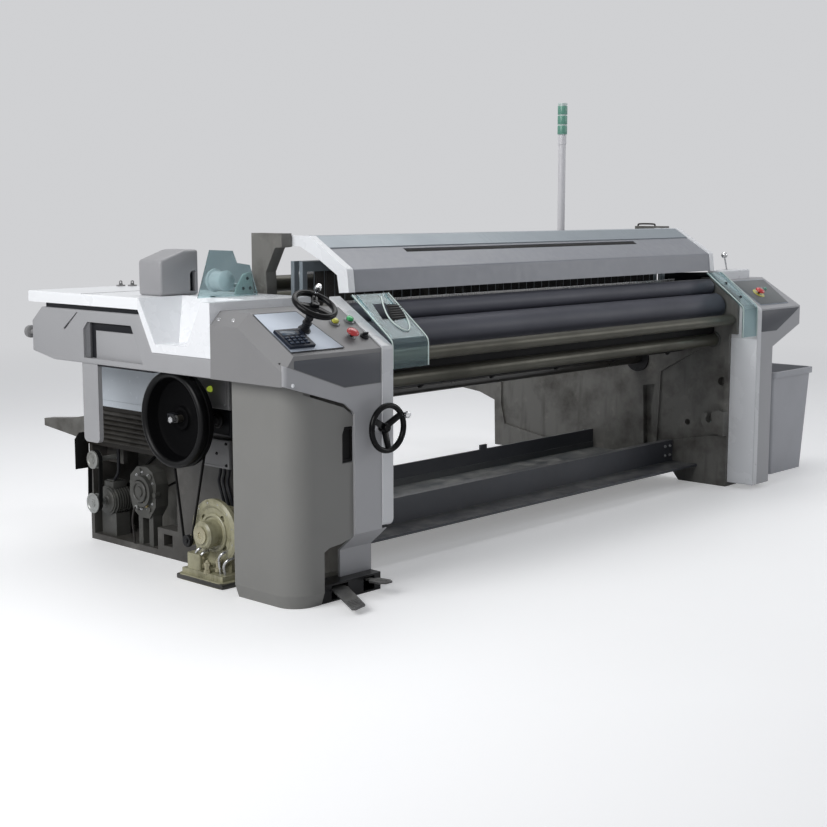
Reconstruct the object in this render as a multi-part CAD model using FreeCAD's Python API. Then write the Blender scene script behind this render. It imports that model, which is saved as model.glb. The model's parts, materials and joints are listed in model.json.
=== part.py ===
"""Shuttleless power loom with lifting hood, end consoles and an open drive bay at the left.

Millimetres. +X runs along the weaving width towards the right-hand end, the weaver stands on
the -Y side, +Z is up and the floor is z = 0. Places are measured in the machine's own axes,
and the last step moves the origin to the floor under the middle of the whole box.
"""
import FreeCAD, Part
import math
import os

V = FreeCAD.Vector
os.makedirs("parts", exist_ok=True)

# ---------------------------------------------------------------- driving dimensions
# clearances
seat = 0.3                   # gap between pieces that rest beside each other
run = 0.05                   # radial clearance of a shaft in its bearing

# side frames and what stands between them
left_in = -1515.0            # inner face of the left frame
frame_clear = 2945.0         # clear width between the two frames
frame_wall = 60.0
frame_front = -885.0
frame_low_front = -838.0     # below the guide roller the frames are set back
front_step = 890.0
frame_rear = 900.0
arm_tip = 1545.0             # rear end of the warp beam arms
right_in = left_in + frame_clear
left_out = left_in - frame_wall
right_out = right_in + frame_wall

# covers
left_face = -2137.0          # side plane of the left console, table and apron
front_face = -1000.0         # front plane of both consoles and posts
bay_face = -1845.0           # outer plane of the drive bay
wall = 12.0                  # wall of the moulded covers
table_low = 1176.0
table_top = 1227.0
knee_y = -745.0              # where the console's slope meets its flat top
knee_z = 1192.0
lip_z = 1035.0               # front upper edge of the console
console_rear = -560.0
console_low = 917.0          # lower edge of console side and apron
slope = math.atan2(knee_z - lip_z, knee_y - front_face)

# trims and posts
trim_left = -1590.0
trim_wall = 14.0
trim_proud = 6.0
post_left = -1746.0
post_low = 272.0
right_trim_in = 1452.0
right_trim_out = 1492.0
right_post = 1635.0
right_end = 1940.0

# shafts: (y, z) of each axis, and radii
main_y, main_z, main_r = -215.0, 708.0, 32.0
take_y, take_z, take_r = -745.0, 1047.0, 72.0
press_r = 46.0
press_lean = 64.5            # degrees above the horizontal of the line between the two rollers
guide_y, guide_z, guide_r = -850.0, 972.0, 31.0
breast_y, breast_z, breast_r = -735.0, 852.0, 36.0
cross_y, cross_z, cross_r = -225.0, 1268.0, 37.0
rest_y, rest_z, rest_r = 700.0, 1120.0, 60.0
sley_y, sley_z, sley_r = -520.0, 800.0, 30.0
journal_r = 20.0
press_reach = take_r + press_r + seat
press_y = take_y + press_reach * math.cos(math.radians(press_lean))
press_z = take_z + press_reach * math.sin(math.radians(press_lean))

# hood
hinge_y, hinge_z, hinge_r = -345.0, 1462.0, 10.0
hood_top = 1480.0
hood_ridge = -483.0
hood_knee_y, hood_knee_z = -712.0, 1343.0
hood_low_y, hood_low_z = -722.0, 1248.0
hood_wall = 10.0
arch_wide = 38.0             # thickness of an end arch along X
arch_band = 44.0
arch_gap = 5.0


# ---------------------------------------------------------------- helpers
def box(x0, x1, y0, y1, z0, z1):
    return Part.makeBox(x1 - x0, y1 - y0, z1 - z0, V(x0, y0, z0))


def prism(points, direction):
    """Extrude a closed outline of 3-D points along a vector."""
    wire = Part.makePolygon([V(*p) for p in points] + [V(*points[0])])
    return Part.Face(wire).extrude(V(*direction))


def prism_x(outline, x0, x1):
    """Outline of (y, z) points, extruded from x0 to x1."""
    return prism([(x0, y, z) for y, z in outline], (x1 - x0, 0, 0))


def prism_y(outline, y0, y1):
    """Outline of (x, z) points, extruded from y0 to y1."""
    return prism([(x, y0, z) for x, z in outline], (0, y1 - y0, 0))


def prism_z(outline, z0, z1):
    """Outline of (x, y) points, extruded from z0 to z1."""
    return prism([(x, y, z0) for x, y in outline], (0, 0, z1 - z0))


def rod_x(x0, x1, y, z, r):
    return Part.makeCylinder(r, x1 - x0, V(x0, y, z), V(1, 0, 0))


def rod_y(y0, y1, x, z, r):
    return Part.makeCylinder(r, y1 - y0, V(x, y0, z), V(0, 1, 0))


def rod_z(z0, z1, x, y, r):
    return Part.makeCylinder(r, z1 - z0, V(x, y, z0), V(0, 0, 1))


def turned(profile, base, axis):
    """Revolve an outline of (radius, height) points about an axis through base."""
    wire = Part.makePolygon([V(r, 0, h) for r, h in profile] + [V(profile[0][0], 0, profile[0][1])])
    solid = Part.Face(wire).revolve(V(0, 0, 0), V(0, 0, 1), 360)
    solid.Placement = FreeCAD.Placement(V(*base), FreeCAD.Rotation(V(0, 0, 1), V(*axis)))
    return solid


def rounded(shape, radius, pick):
    """Fillet the edges of a solid for which pick(edge) is true."""
    edges = [e for e in shape.Edges if pick(e)]
    return shape.makeFillet(radius, edges)


def along(edge, axis):
    """True if a straight edge runs along X, Y or Z (0, 1, 2)."""
    if len(edge.Vertexes) != 2:
        return False
    d = edge.Vertexes[1].Point - edge.Vertexes[0].Point
    return abs(abs(d[axis]) - d.Length) < 1e-6


def near(edge, axis, value):
    """True if both ends of an edge lie at one coordinate."""
    return all(abs(v.Point[axis] - value) < 0.01 for v in edge.Vertexes)


def group(solids):
    return Part.makeCompound(solids)


nodes = {}


def keep(name, shape):
    """Store a finished piece; a union that left seams is cleaned first."""
    nodes[name] = shape


# ---------------------------------------------------------------- side frames
slot_rear, slot_front, slot_low, slot_high = -255.0, -341.0, 192.0, 546.0
pocket_deep = 14.0
pocket_front = frame_low_front + 26
horn_rear = -173.0
horn_top = 1496.0
foot_high = 30.0
foot_long = 150.0
anchor_r = 11.0
bearing_r = 62.0             # outside of the main shaft's bearing rings
front_foot_y = -760.0
rear_foot_y = 600.0
foot_wide = 90.0


def frame_outline():
    return [(frame_low_front, 0), (-520, 0), (-470, 60), (440, 60), (480, 0), (760, 0), (790, 56),
            (frame_rear, 56), (907, 352), (1036, 395), (1212, 414), (arm_tip, 448),
            (arm_tip, 487), (1290, 512), (1000, 570), (930, 700), (800, rest_z + 60),
            (600, rest_z + 60), (500, 1100), (-120, 1110), (-150, cross_z), (horn_rear, 1330),
            (horn_rear, horn_top), (-374, horn_top), (-374, hinge_z - 26), (-330, hinge_z - 30),
            (-268, 1325), (-275, 1200), (-320, 1130), (-590, 1130), (-640, press_z + 50),
            (-700, press_z + 50), (-748, 1158), (frame_front, 1066),
            (frame_front, front_step), (frame_low_front, front_step)]


def side_frame(inner, outward):
    """One casting. outward is -1 for the left frame and +1 for the right one."""
    lo, hi = sorted((inner, inner + outward * frame_wall))
    body = prism_x(frame_outline(), lo, hi)
    cutters = [rod_x(lo - 1, hi + 1, take_y, take_z, journal_r + run),
               rod_x(lo - 1, hi + 1, press_y, press_z, journal_r + run),
               rod_x(lo - 1, hi + 1, guide_y, guide_z, journal_r + run),
               rod_x(lo - 1, hi + 1, rest_y, rest_z, journal_r + run),
               rod_x(lo - 1, hi + 1, sley_y, sley_z, journal_r + run),
               rod_x(lo - 1, hi + 1, main_y, main_z, bearing_r),
               rod_x(lo - 1, hi + 1, -787, 611, 25),
               rod_x(lo - 1, hi + 1, -564, 352, 18)]
    p0, p1 = sorted((inner, inner + outward * pocket_deep))
    d0, d1 = sorted((inner, inner + outward * pocket_deep * 2.5))
    cutters.append(prism_x([(slot_front, slot_high + 14), (slot_rear, slot_high), (-262, 420),
                            (-268, slot_low), (-330, slot_low), (-318, 430)], d0, d1))
    cutters.append(prism_x([(-360, 210), (-600, 262), (pocket_front, 300), (pocket_front, 760), (-640, 790),
                            (-380, 640)], p0, p1))
    cutters.append(prism_x([(190, 140), (430, 140), (820, 200), (850, 330), (850, 560), (560, 640),
                            (190, 640)], p0, p1))
    body = body.cut(Part.makeCompound(cutters))
    f0, f1 = sorted((inner + outward * frame_wall, inner + outward * (frame_wall + foot_wide)))
    feet = []
    for y in (front_foot_y, rear_foot_y):
        foot = box(f0, f1, y - foot_long / 2, y + foot_long / 2, 0, foot_high)
        foot = foot.cut(rod_z(-1, foot_high + 1, (f0 + f1) / 2, y, anchor_r))
        feet.append(foot)
    return body.multiFuse(feet).removeSplitter()


# cloth beam bracket: an arm with an open cradle, cast on the inner face
cradle_r = 22.0
cradle_y, cradle_z = -742.0, 392.0
bracket_wide = 41.0


def cloth_bracket(face, outward):
    x0, x1 = sorted((face + outward * pocket_deep, face - outward * bracket_wide))
    arm = prism_x([(frame_low_front, 300), (-720, 318), (-690, 372), (-700, 425), (cradle_y - 8, 425),
                   (-800, 448), (frame_low_front, 440)], x0, x1)
    arm = arm.cut(rod_x(x0 - 1, x1 + 1, cradle_y, cradle_z, cradle_r))
    return arm.cut(prism_x([(cradle_y - 0.7 * cradle_r, cradle_z), (cradle_y + 0.7 * cradle_r, cradle_z),
                            (cradle_y + 20, 460), (cradle_y - 10, 460)], x0 - 1, x1 + 1))


# heald guide: an upright block with one groove for each heald frame
heald_a_y, heald_b_y = -400.0, -345.0
heald_thick = 22.0
heald_inset = 30.0           # from the frame's inner face to the end of a heald frame
guide_reach = 46.0
guide_low, guide_high = 1000.0, 1105.0


def heald_guide(face, outward):
    x0, x1 = sorted((face, face - outward * guide_reach))
    block = box(x0, x1, heald_a_y - 24, heald_b_y + 24, guide_low, guide_high)
    for y in (heald_a_y, heald_b_y):
        g0, g1 = sorted((face - outward * (heald_inset - seat), face - outward * (guide_reach + 1)))
        block = block.cut(box(g0, g1, y - heald_thick / 2 - seat, y + heald_thick / 2 + seat,
                              guide_low - 1, guide_high + 1))
    return block


def hinge_pin(face, outward):
    x0, x1 = sorted((face, face - outward * (arch_gap + arch_wide)))
    return rod_x(x0, x1, hinge_y, hinge_z, hinge_r)


for frame_name, face, outward in (("left_side_frame", left_in, -1), ("right_side_frame", right_in, 1)):
    casting = side_frame(face, outward)
    keep(frame_name, casting.multiFuse([hinge_pin(face, outward), cloth_bracket(face, outward),
                                        heald_guide(face, outward)]).removeSplitter())

# ---------------------------------------------------------------- drive bay
bay_rear = 740.0
bay_high = 905.0
bay_wall = 25.0
bay_open = 60.0              # the outer wall ends here, and the bay is open behind it
bay_front = -540.0
floor_high = 30.0
bay = box(bay_face, bay_face + bay_wall, bay_front, bay_open, 0, bay_high)
tray = box(bay_face, left_out - seat, bay_front, bay_rear, 0, floor_high)
rear_wall = box(bay_face, left_out - seat, bay_rear - bay_wall, bay_rear, 0, bay_high)
foot_block = box(bay_face, bay_face + 85, bay_open, bay_open + 150, floor_high, 135)
square_hole = box(bay_face - 1, bay_face + 60, bay_open + 40, bay_open + 105, 55, 110)
idler_y, idler_z = 622.0, 412.0
motor_y, motor_z = 630.0, 200.0
arm_x = -1760.0
idler_arm = box(arm_x, arm_x + bay_wall, idler_y - 40, bay_rear - bay_wall, idler_z - 35, idler_z + 35)
bay = bay.multiFuse([tray, rear_wall, foot_block, idler_arm])
idler_journal = 12.0
bay = bay.cut(Part.makeCompound([
    square_hole,
    rod_x(bay_face - 1, bay_face + bay_wall + 1, main_y, main_z, bearing_r),
    rod_x(arm_x - 1, arm_x + bay_wall + 1, idler_y, idler_z, idler_journal + run)]))
# relief over the side frame's feet
foot_relief = 3.0
for foot_y in (front_foot_y, rear_foot_y):
    bay = bay.cut(box(left_out - foot_wide - foot_relief, left_out, foot_y - foot_long / 2 - foot_relief,
                      foot_y + foot_long / 2 + foot_relief, -1, foot_high + foot_relief))
keep("drive_bay_frame", bay.removeSplitter())

# bearing rings of the main shaft: one in each frame and one in the bay's outer wall
ring_out = 12.0


def bearing_ring(x0, x1, flange_x, flange_side):
    ring = rod_x(x0, x1, main_y, main_z, bearing_r)
    f0, f1 = sorted((flange_x, flange_x + flange_side * ring_out))
    ring = ring.fuse(rod_x(f0, f1, main_y, main_z, bearing_r + 18))
    return ring.cut(rod_x(min(x0, f0) - 1, max(x1, f1) + 1, main_y, main_z, main_r + run)).removeSplitter()


keep("shaft_bearings", group([
    bearing_ring(bay_face, bay_face + bay_wall, bay_face + bay_wall, 1),
    bearing_ring(left_out, left_in, left_in, 1),
    bearing_ring(right_in, right_out, right_in, -1)]))

# ---------------------------------------------------------------- beams and tray
web = 12.0
front_web_y = -475.0
front_beam_top = 236.0
front_beam_low = 100.0
front_flange = 172.0
rear_web_y = 108.0
rear_beam_top = 242.0
tray_z = 125.0
sheet = 4.0
front_beam = prism_x([
    (front_web_y - front_flange, front_beam_low), (front_web_y + web, front_beam_low),
    (front_web_y + web, front_beam_top - web), (front_web_y + 46, front_beam_top - web),
    (front_web_y + 46, front_beam_top), (front_web_y, front_beam_top),
    (front_web_y, front_beam_low + web), (front_web_y - front_flange, front_beam_low + web)],
    left_in, right_in)
keep("front_beam", front_beam)
lug_x = 380.0
rear_beam = prism_x([
    (rear_web_y, tray_z), (rear_web_y + 82, tray_z), (rear_web_y + 82, tray_z + web),
    (rear_web_y + web, tray_z + web), (rear_web_y + web, rear_beam_top), (rear_web_y, rear_beam_top)],
    left_in, right_in)
keep("rear_beam", rear_beam.fuse(box(lug_x - 28, lug_x + 28, rear_web_y, rear_web_y + web,
                                     rear_beam_top, rear_beam_top + 26)).removeSplitter())
drip = prism_x([
    (front_web_y + web, tray_z), (rear_web_y, tray_z), (rear_web_y, tray_z + 40),
    (rear_web_y - sheet, tray_z + 40), (rear_web_y - sheet, tray_z + sheet),
    ((front_web_y + rear_web_y) / 2, tray_z + sheet - 2), (front_web_y + web + sheet, tray_z + sheet),
    (front_web_y + web + sheet, tray_z + 40), (front_web_y + web, tray_z + 40)],
    left_in + 1, right_in - 1)
keep("drip_tray", drip)

# fixed tubes: breast tube and top cross tube
tube_wall = 5.0


def tube_x(x0, x1, y, z, r):
    return rod_x(x0, x1, y, z, r).cut(rod_x(x0 - 1, x1 + 1, y, z, r - tube_wall))


keep("cross_tubes", group([tube_x(left_in, right_in, breast_y, breast_z, breast_r),
                           tube_x(left_in, right_in, cross_y, cross_z, cross_r)]))

# ---------------------------------------------------------------- rollers and shafts
roller_gap = 20.0            # end play between a roller's face and the frame


def roller(y, z, r, journal=None):
    journal = journal or journal_r
    body = rod_x(left_in + roller_gap, right_in - roller_gap, y, z, r)
    ends = rod_x(left_out, right_out, y, z, journal)
    return body.fuse(ends).removeSplitter()


keep("take_up_roller", roller(take_y, take_z, take_r))
keep("press_roller", roller(press_y, press_z, press_r))
keep("guide_roller", roller(guide_y, guide_z, guide_r))
keep("back_rest_roller", roller(rest_y, rest_z, rest_r))

# main shaft, and the dished drive wheel at its left end
wheel_mouth = -2085.0
wheel_deep = 82.0
wheel_r = 211.0
wheel_web = 14.0
shaft_nose = 36.0            # shaft end seen inside the dish
nose_r = 16.0
wheel_back = wheel_mouth + wheel_deep
shaft = rod_x(wheel_back, right_out + 20, main_y, main_z, main_r)
shaft = shaft.fuse(rod_x(wheel_back - wheel_web - shaft_nose, wheel_back, main_y, main_z, nose_r))
wheel = turned([
    (nose_r + run, wheel_deep - wheel_web), (40, wheel_deep - wheel_web), (46, wheel_deep - wheel_web - 16),
    (60, wheel_deep - wheel_web - 16), (66, wheel_deep - wheel_web), (142, wheel_deep - wheel_web),
    (162, 42), (176, 16), (192, 4), (wheel_r - 6, 0), (wheel_r, 7), (wheel_r, 20), (198, 26),
    (198, 44), (180, wheel_deep - 8), (172, wheel_deep), (nose_r + run, wheel_deep)],
    (wheel_mouth, main_y, main_z), (1, 0, 0))
keep("drive_wheel", wheel)

# pulleys on the main shaft, one solid each side of the bay wall
groove = 4.0
flange = 3.0                 # wall of a pulley beside its groove
belt_play = 1.0              # side play of a belt in its groove
belt_thick = 6.0
thin_belt = 10.0             # belt widths
wide_belt = 20.0


def grooved(x_mid, y, z, r, belt, bore):
    """A pulley with one flat-bottomed groove for a belt, turned about X."""
    half = belt / 2 + belt_play
    edge = half + flange
    return turned([(bore, -edge), (r, -edge), (r, -half), (r - groove, -half), (r - groove, half),
                   (r, half), (r, edge), (bore, edge)], (x_mid, y, z), (1, 0, 0))


pump_belt_x = -1985.0
pump_sheave_r = 140.0
motor_belt_x = -1700.0
motor_sheave_r = 150.0
shaft = shaft.multiFuse([
    grooved(pump_belt_x, main_y, main_z, pump_sheave_r, thin_belt, main_r - 1),
    grooved(motor_belt_x, main_y, main_z, motor_sheave_r, wide_belt, main_r - 1)])
keep("main_shaft", shaft.removeSplitter())

# ---------------------------------------------------------------- motor, let-off drive, pump
motor_r = 70.0
motor_left = -1828.0
motor_right = -1728.0
motor_shaft_r = 14.0
idler_x = -1895.0
idler_r = 44.0
fin_count = 6
motor_body = rod_x(motor_left, motor_right, motor_y, motor_z, motor_r)
fins = []
for i in range(fin_count):
    x = motor_left + 14 + i * (motor_right - motor_left - 28) / (fin_count - 1)
    fins.append(rod_x(x - 2, x + 2, motor_y, motor_z, motor_r + 7))
motor_foot = box(motor_left + 10, motor_right - 10, motor_y - 58, motor_y + 58, floor_high, motor_z - motor_r + 12)
motor_body = motor_body.multiFuse(fins + [motor_foot])
motor_body = motor_body.cut(rod_x(motor_left - 1, motor_right + 1, motor_y, motor_z, motor_shaft_r + run))
keep("drive_motor", motor_body.removeSplitter())
motor_pulley_r = 50.0
rotor = grooved(motor_belt_x, motor_y, motor_z, motor_pulley_r, wide_belt, motor_shaft_r - 1)
rotor_shaft = rod_x(idler_x - 14, motor_belt_x + 18, motor_y, motor_z, motor_shaft_r)
let_off_low = grooved(idler_x, motor_y, motor_z, idler_r, wide_belt, motor_shaft_r - 1)
keep("motor_pulley", rotor.multiFuse([rotor_shaft, let_off_low]).removeSplitter())
idler = grooved(idler_x, idler_y, idler_z, idler_r, wide_belt, idler_journal - 1)
idler = idler.fuse(rod_x(idler_x - 16, arm_x + bay_wall + 8, idler_y, idler_z, idler_journal))
keep("let_off_pulley", idler.removeSplitter())

# let-off gearbox: cast, lyre-shaped, with a ring boss and two feet
gear_left = -1838.0
gear_right = -1765.0
gear_y, gear_z = 322.0, 290.0
case_outline = [(gear_y - 96, gear_z + 40), (gear_y - 70, gear_z + 96), (gear_y - 26, gear_z + 118),
                (gear_y + 46, gear_z + 112), (gear_y + 100, gear_z + 66), (gear_y + 108, gear_z - 20),
                (gear_y + 84, gear_z - 96), (gear_y + 30, gear_z - 130), (gear_y - 44, gear_z - 126),
                (gear_y - 90, gear_z - 66)]
gearbox = prism_x(case_outline, gear_left, gear_right)
boss_out = 22.0
gearbox = gearbox.fuse(rod_x(gear_left - boss_out, gear_left, gear_y, gear_z, 74))
gearbox = gearbox.cut(rod_x(gear_left - boss_out - 1, gear_left - 4, gear_y, gear_z, 56))
gearbox = gearbox.fuse(rod_x(gear_left - boss_out, gear_left, gear_y, gear_z, 30))
for foot_y in (gear_y - 40, gear_y + 40):
    gearbox = gearbox.fuse(box(gear_left + 10, gear_right - 10, foot_y - 16, foot_y + 16, floor_high, gear_z - 110))
lug_angles = (20, 75, 130, 185, 240, 300)
for a in lug_angles:
    ly = gear_y + 88 * math.cos(math.radians(a))
    lz = gear_z + 96 * math.sin(math.radians(a))
    gearbox = gearbox.fuse(rod_x(gear_left - 8, gear_left + 20, ly, lz, 13))
keep("let_off_gearbox", gearbox.removeSplitter())

# pump: base plate in two steps, disc casting with slots, hub, valve block
pump_y, pump_z, pump_r = -350.0, 215.0, 148.0
pump_x = -1965.0
pump_disc = 18.0
pump_front = -494.0
pump_rear = -187.0
pump_left = -2045.0
pulley_y, pulley_z = -192.0, 158.0
pulley_r = 26.0
pump_shaft_r = 10.0
pump_right = bay_face - seat
base = box(pump_left, pump_right, pump_front, pump_rear, 0, 26)
base = rounded(base, 30, lambda e: along(e, 2) and near(e, 0, pump_left))
base = base.fuse(box(pump_left + 22, pump_right, pump_front + 22, pump_rear - 10, 26, 48))
disc = turned([(0.01, -72), (52, -72), (60, -64), (60, 0), (108, 0), (120, -7), (pump_r - 12, -7),
               (pump_r, 0), (pump_r, pump_disc), (110, pump_disc), (104, 96), (0.01, 96)],
              (pump_x, pump_y, pump_z), (1, 0, 0))
slots = []
for a in range(40, 360, 90):
    sy = pump_y + 88 * math.cos(math.radians(a))
    sz = pump_z + 88 * math.sin(math.radians(a))
    slots.append(rod_x(pump_x - 10, pump_x + 12, sy, sz, 15))
disc = disc.cut(Part.makeCompound(slots))
valve = box(pump_x - 52, pump_x + 70, pump_y + 40, pump_y + 128, 48, 118)
valve = rounded(valve, 10, lambda e: along(e, 2))
cradle = box(pump_x + 20, pump_x + 90, pump_y - 90, pump_y + 90, 48, 130)
boss = rod_x(pump_belt_x + 18, pump_x + 78, pulley_y, pulley_z, 24)
boss = boss.fuse(box(pump_x + 16, pump_x + 70, pulley_y - 22, pulley_y - 12, 40, pulley_z))
pump = base.multiFuse([disc, valve, cradle, boss])
pump = pump.cut(rod_x(pump_belt_x, pump_x + 60, pulley_y, pulley_z, pump_shaft_r + run))
keep("pump_unit", pump.removeSplitter())
pump_wheel = grooved(pump_belt_x, pulley_y, pulley_z, pulley_r, thin_belt, pump_shaft_r - 1)
pump_wheel = pump_wheel.fuse(rod_x(pump_belt_x - 14, pump_x + 50, pulley_y, pulley_z, pump_shaft_r))
keep("pump_pulley", pump_wheel.removeSplitter())


def belt(x_mid, y0, z0, r0, y1, z1, r1, wide, thick):
    """A closed belt round two pulleys: the band between two offset outlines."""
    def outline(extra):
        a, b = r0 + extra, r1 + extra
        dist = math.hypot(y1 - y0, z1 - z0)
        base_angle = math.atan2(z1 - z0, y1 - y0)
        swing = math.acos((a - b) / dist)
        up, down = base_angle + swing, base_angle - swing

        def at(cy, cz, r, angle):
            return V(x_mid - wide / 2, cy + r * math.cos(angle), cz + r * math.sin(angle))
        p0, p1 = at(y0, z0, a, up), at(y1, z1, b, up)
        q0, q1 = at(y0, z0, a, down), at(y1, z1, b, down)
        far0 = at(y0, z0, a, base_angle + math.pi)
        far1 = at(y1, z1, b, base_angle)
        return Part.Wire([Part.LineSegment(p0, p1).toShape(), Part.Arc(p1, far1, q1).toShape(),
                          Part.LineSegment(q1, q0).toShape(), Part.Arc(q0, far0, p0).toShape()])
    outer = Part.Face(outline(thick)).extrude(V(wide, 0, 0))
    inner = Part.Face(outline(0)).extrude(V(wide, 0, 0))
    return outer.cut(inner)


seated = seat - groove       # a belt's inner face, from a pulley's outer radius
keep("drive_belts", group([
    belt(pump_belt_x, main_y, main_z, pump_sheave_r + seated, pulley_y, pulley_z, pulley_r + seated,
         thin_belt, belt_thick),
    belt(motor_belt_x, main_y, main_z, motor_sheave_r + seated, motor_y, motor_z, motor_pulley_r + seated,
         wide_belt, belt_thick),
    belt(idler_x, idler_y, idler_z, idler_r + seated, motor_y, motor_z, idler_r + seated,
         wide_belt, belt_thick)]))

# ---------------------------------------------------------------- left side covers
# leg cover: a tall shell with a rounded front corner, a toe taper and a handle pocket
leg_left = -2080.0
leg_rear = -623.0
leg_front = front_face + wall + seat
leg_round = 118.0
leg_high = console_low - seat
toe_high = 56.0
toe_in = 20.0
leg_cut = -1913.0            # the front is cut away to the right of this, over the pedals


def leg_outline(inset, corner):
    """Closed plan outline: left side, rounded corner, front, then back along the inside."""
    x0, y1, y0 = leg_left + inset, leg_rear, leg_front + inset
    x1 = post_left - seat
    c = math.cos(math.pi / 4)
    a, b = V(x0, y0 + corner, 0), V(x0 + corner, y0, 0)
    mid = V(x0 + corner - corner * c, y0 + corner - corner * c, 0)
    return Part.Wire([
        Part.LineSegment(V(x0, y1, 0), a).toShape(), Part.Arc(a, mid, b).toShape(),
        Part.LineSegment(b, V(x1, y0, 0)).toShape(),
        Part.LineSegment(V(x1, y0, 0), V(x1, y1, 0)).toShape(),
        Part.LineSegment(V(x1, y1, 0), V(x0, y1, 0)).toShape()])


def leg_solid(inset, corner, z0, z1):
    wire = leg_outline(inset, corner)
    wire.translate(V(0, 0, z0))
    return Part.Face(wire).extrude(V(0, 0, z1 - z0))


def leg_toe(inset):
    low = leg_outline(toe_in + inset, leg_round - toe_in)
    high = leg_outline(inset, leg_round)
    high.translate(V(0, 0, toe_high))
    return Part.makeLoft([low, high], True, True)


leg = leg_toe(0).fuse(leg_solid(0, leg_round, toe_high, leg_high))
hollow = leg_toe(wall).fuse(leg_solid(wall, leg_round - wall, toe_high, leg_high))
hollow = hollow.fuse(box(leg_left + 60, post_left + 200, leg_front + 60, leg_rear - wall, -5, leg_high + 5))
leg = leg.cut(hollow)
# the lower right of the front is cut back over the pedals
leg = leg.cut(prism_y([(post_left + 5, post_low - 6), (post_left - 5, post_low - 10), (-1815, 243),
                       (-1884, 236), (leg_cut, 222), (leg_cut, -5), (post_left + 5, -5)], leg_front - 5, leg_rear - wall - 1))
# its upper edge follows the slanted panel, and the console stands on the rest
leg = leg.cut(prism_y([(left_face, leg_high - 2), (-1800, 806), (post_left + 5, 764), (post_left + 5, leg_high + 5),
                       (left_face, leg_high + 5)], leg_front - 5, leg_front + wall + 0.5))
pocket_x0, pocket_x1, pocket_z0, pocket_z1 = -1808.0, post_left + 5, 575.0, 725.0
leg = leg.cut(prism_y([(pocket_x0, pocket_z0), (pocket_x1, pocket_z0), (pocket_x1, pocket_z1),
                       (pocket_x0 + 12, pocket_z1), (pocket_x0, pocket_z1 - 30)], leg_front - 5, leg_front + wall + 1))
keep("left_leg_cover", leg.removeSplitter())


# front panels: the light arm and post in one moulding, at the left and at the right
post_back = frame_front - seat
corner_round = 24.0
foot_top, foot_low = 190.0, 75.0
foot_right = -1560.0
toe_back = -905.0
console_right = trim_left - seat
left_panel = prism_y([(left_face, 1003), (-1805, 887), (console_right, 890), (console_right, post_low),
                      (post_left, post_low), (post_left, 779), (-1803, 822), (left_face, 922)],
                     front_face, front_face + wall)
left_round = box(left_face, console_right, front_face, front_face + 200, 0, 1100)
left_round = rounded(left_round, corner_round, lambda e: along(e, 2) and near(e, 0, left_face)
                     and near(e, 1, front_face))
left_panel = left_panel.common(left_round)
left_post = box(post_left, post_left + wall, front_face, post_back, post_low, 779)
left_foot = prism_x([(front_face, post_low), (front_face + wall, post_low), (toe_back + wall, foot_top),
                     (toe_back + wall, foot_low), (toe_back, foot_low), (toe_back, foot_top)],
                    post_left, foot_right)
# the front handwheel turns in a boss on the left panel
hand_x, hand_y, hand_z = -1614.0, -1045.0, 708.0
hand_shaft_r = 11.0
hand_boss = 20.0
left_panel = left_panel.multiFuse([left_post, left_foot,
                                   rod_y(front_face - hand_boss, front_face, hand_x, hand_z, 22)])
left_panel = left_panel.cut(rod_y(front_face - hand_boss - 1, front_face + wall + 1, hand_x, hand_z,
                                  hand_shaft_r + run)).removeSplitter()
right_in_face = right_trim_out + seat
right_low = 25.0
right_panel = prism_y([(right_end, 1028), (1874, 992), (1676, 901), (right_in_face, 903),
                       (right_in_face, right_low), (right_post, right_low), (right_post, 814),
                       (right_end, 928)], front_face, front_face + wall)
right_side = box(right_post - wall, right_post, front_face, post_back, right_low, 814)
right_brow = prism_y([(right_post - wall, 814), (right_post, 814), (right_end, 928), (right_end, 928 + wall * 1.1),
                      (right_post - wall, 814 + wall)], front_face, post_back)
right_panel = right_panel.multiFuse([right_side, right_brow]).removeSplitter()
keep("front_panels", group([left_panel, right_panel]))

# console housing: side, slope, flat top and front face, open below


def console_profile(inset, z_low):
    drop = inset / math.cos(slope)
    lean = inset * math.tan(slope / 2)
    return [(console_rear - inset, z_low), (console_rear - inset, knee_z - inset),
            (knee_y - lean, knee_z - inset), (front_face + inset, lip_z - drop + inset * math.tan(slope)),
            (front_face + inset, z_low)]


def on_slope(x, along_slope, lift=0.0):
    """A point on the console's slope: distance up from the front lip, and height off it."""
    y = front_face + along_slope * math.cos(slope) - lift * math.sin(slope)
    z = lip_z + along_slope * math.sin(slope) + lift * math.cos(slope)
    return (x, y, z)


def slope_plate(x0, x1, s0, s1, lift0, lift1):
    points = [on_slope(x0, s0, lift0), on_slope(x1, s0, lift0), on_slope(x1, s1, lift0), on_slope(x0, s1, lift0)]
    up = V(*on_slope(0, 0, lift1)) - V(*on_slope(0, 0, lift0))
    return prism(points, tuple(up))


def slope_rod(x, s, lift0, lift1, r):
    base = V(*on_slope(x, s, lift0))
    up = V(*on_slope(x, s, lift1)) - base
    return Part.makeCylinder(r, up.Length, base, up)


def slope_poly(points, lift0, lift1):
    """A plate on the slope from (x, distance up the slope) corners."""
    up = V(*on_slope(0, 0, lift1)) - V(*on_slope(0, 0, lift0))
    return prism([on_slope(x, s, lift0) for x, s in points], tuple(up))


slope_long = math.hypot(knee_y - front_face, knee_z - lip_z)
plate_thick = 3.0
button_r = 12.0
plunger_r = 7.0
plunger_hole = plunger_r + run
bezel_r = 17.0
bezel_high = 4.0
wheel_x, wheel_s = -1903.0, 156.0
start_x, start_s = -1614.0, 196.0
jog_x, jog_s = -1705.0, 190.0
stop_x, stop_s = -1690.0, 92.0
key_x, key_s = -1622.0, 82.0
right_stop_x, right_stop_s = 1665.0, 142.0
stem_r = 13.0
stem_high = 96.0
stem_nose_r = 8.0
stem_nose = 30.0

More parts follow.
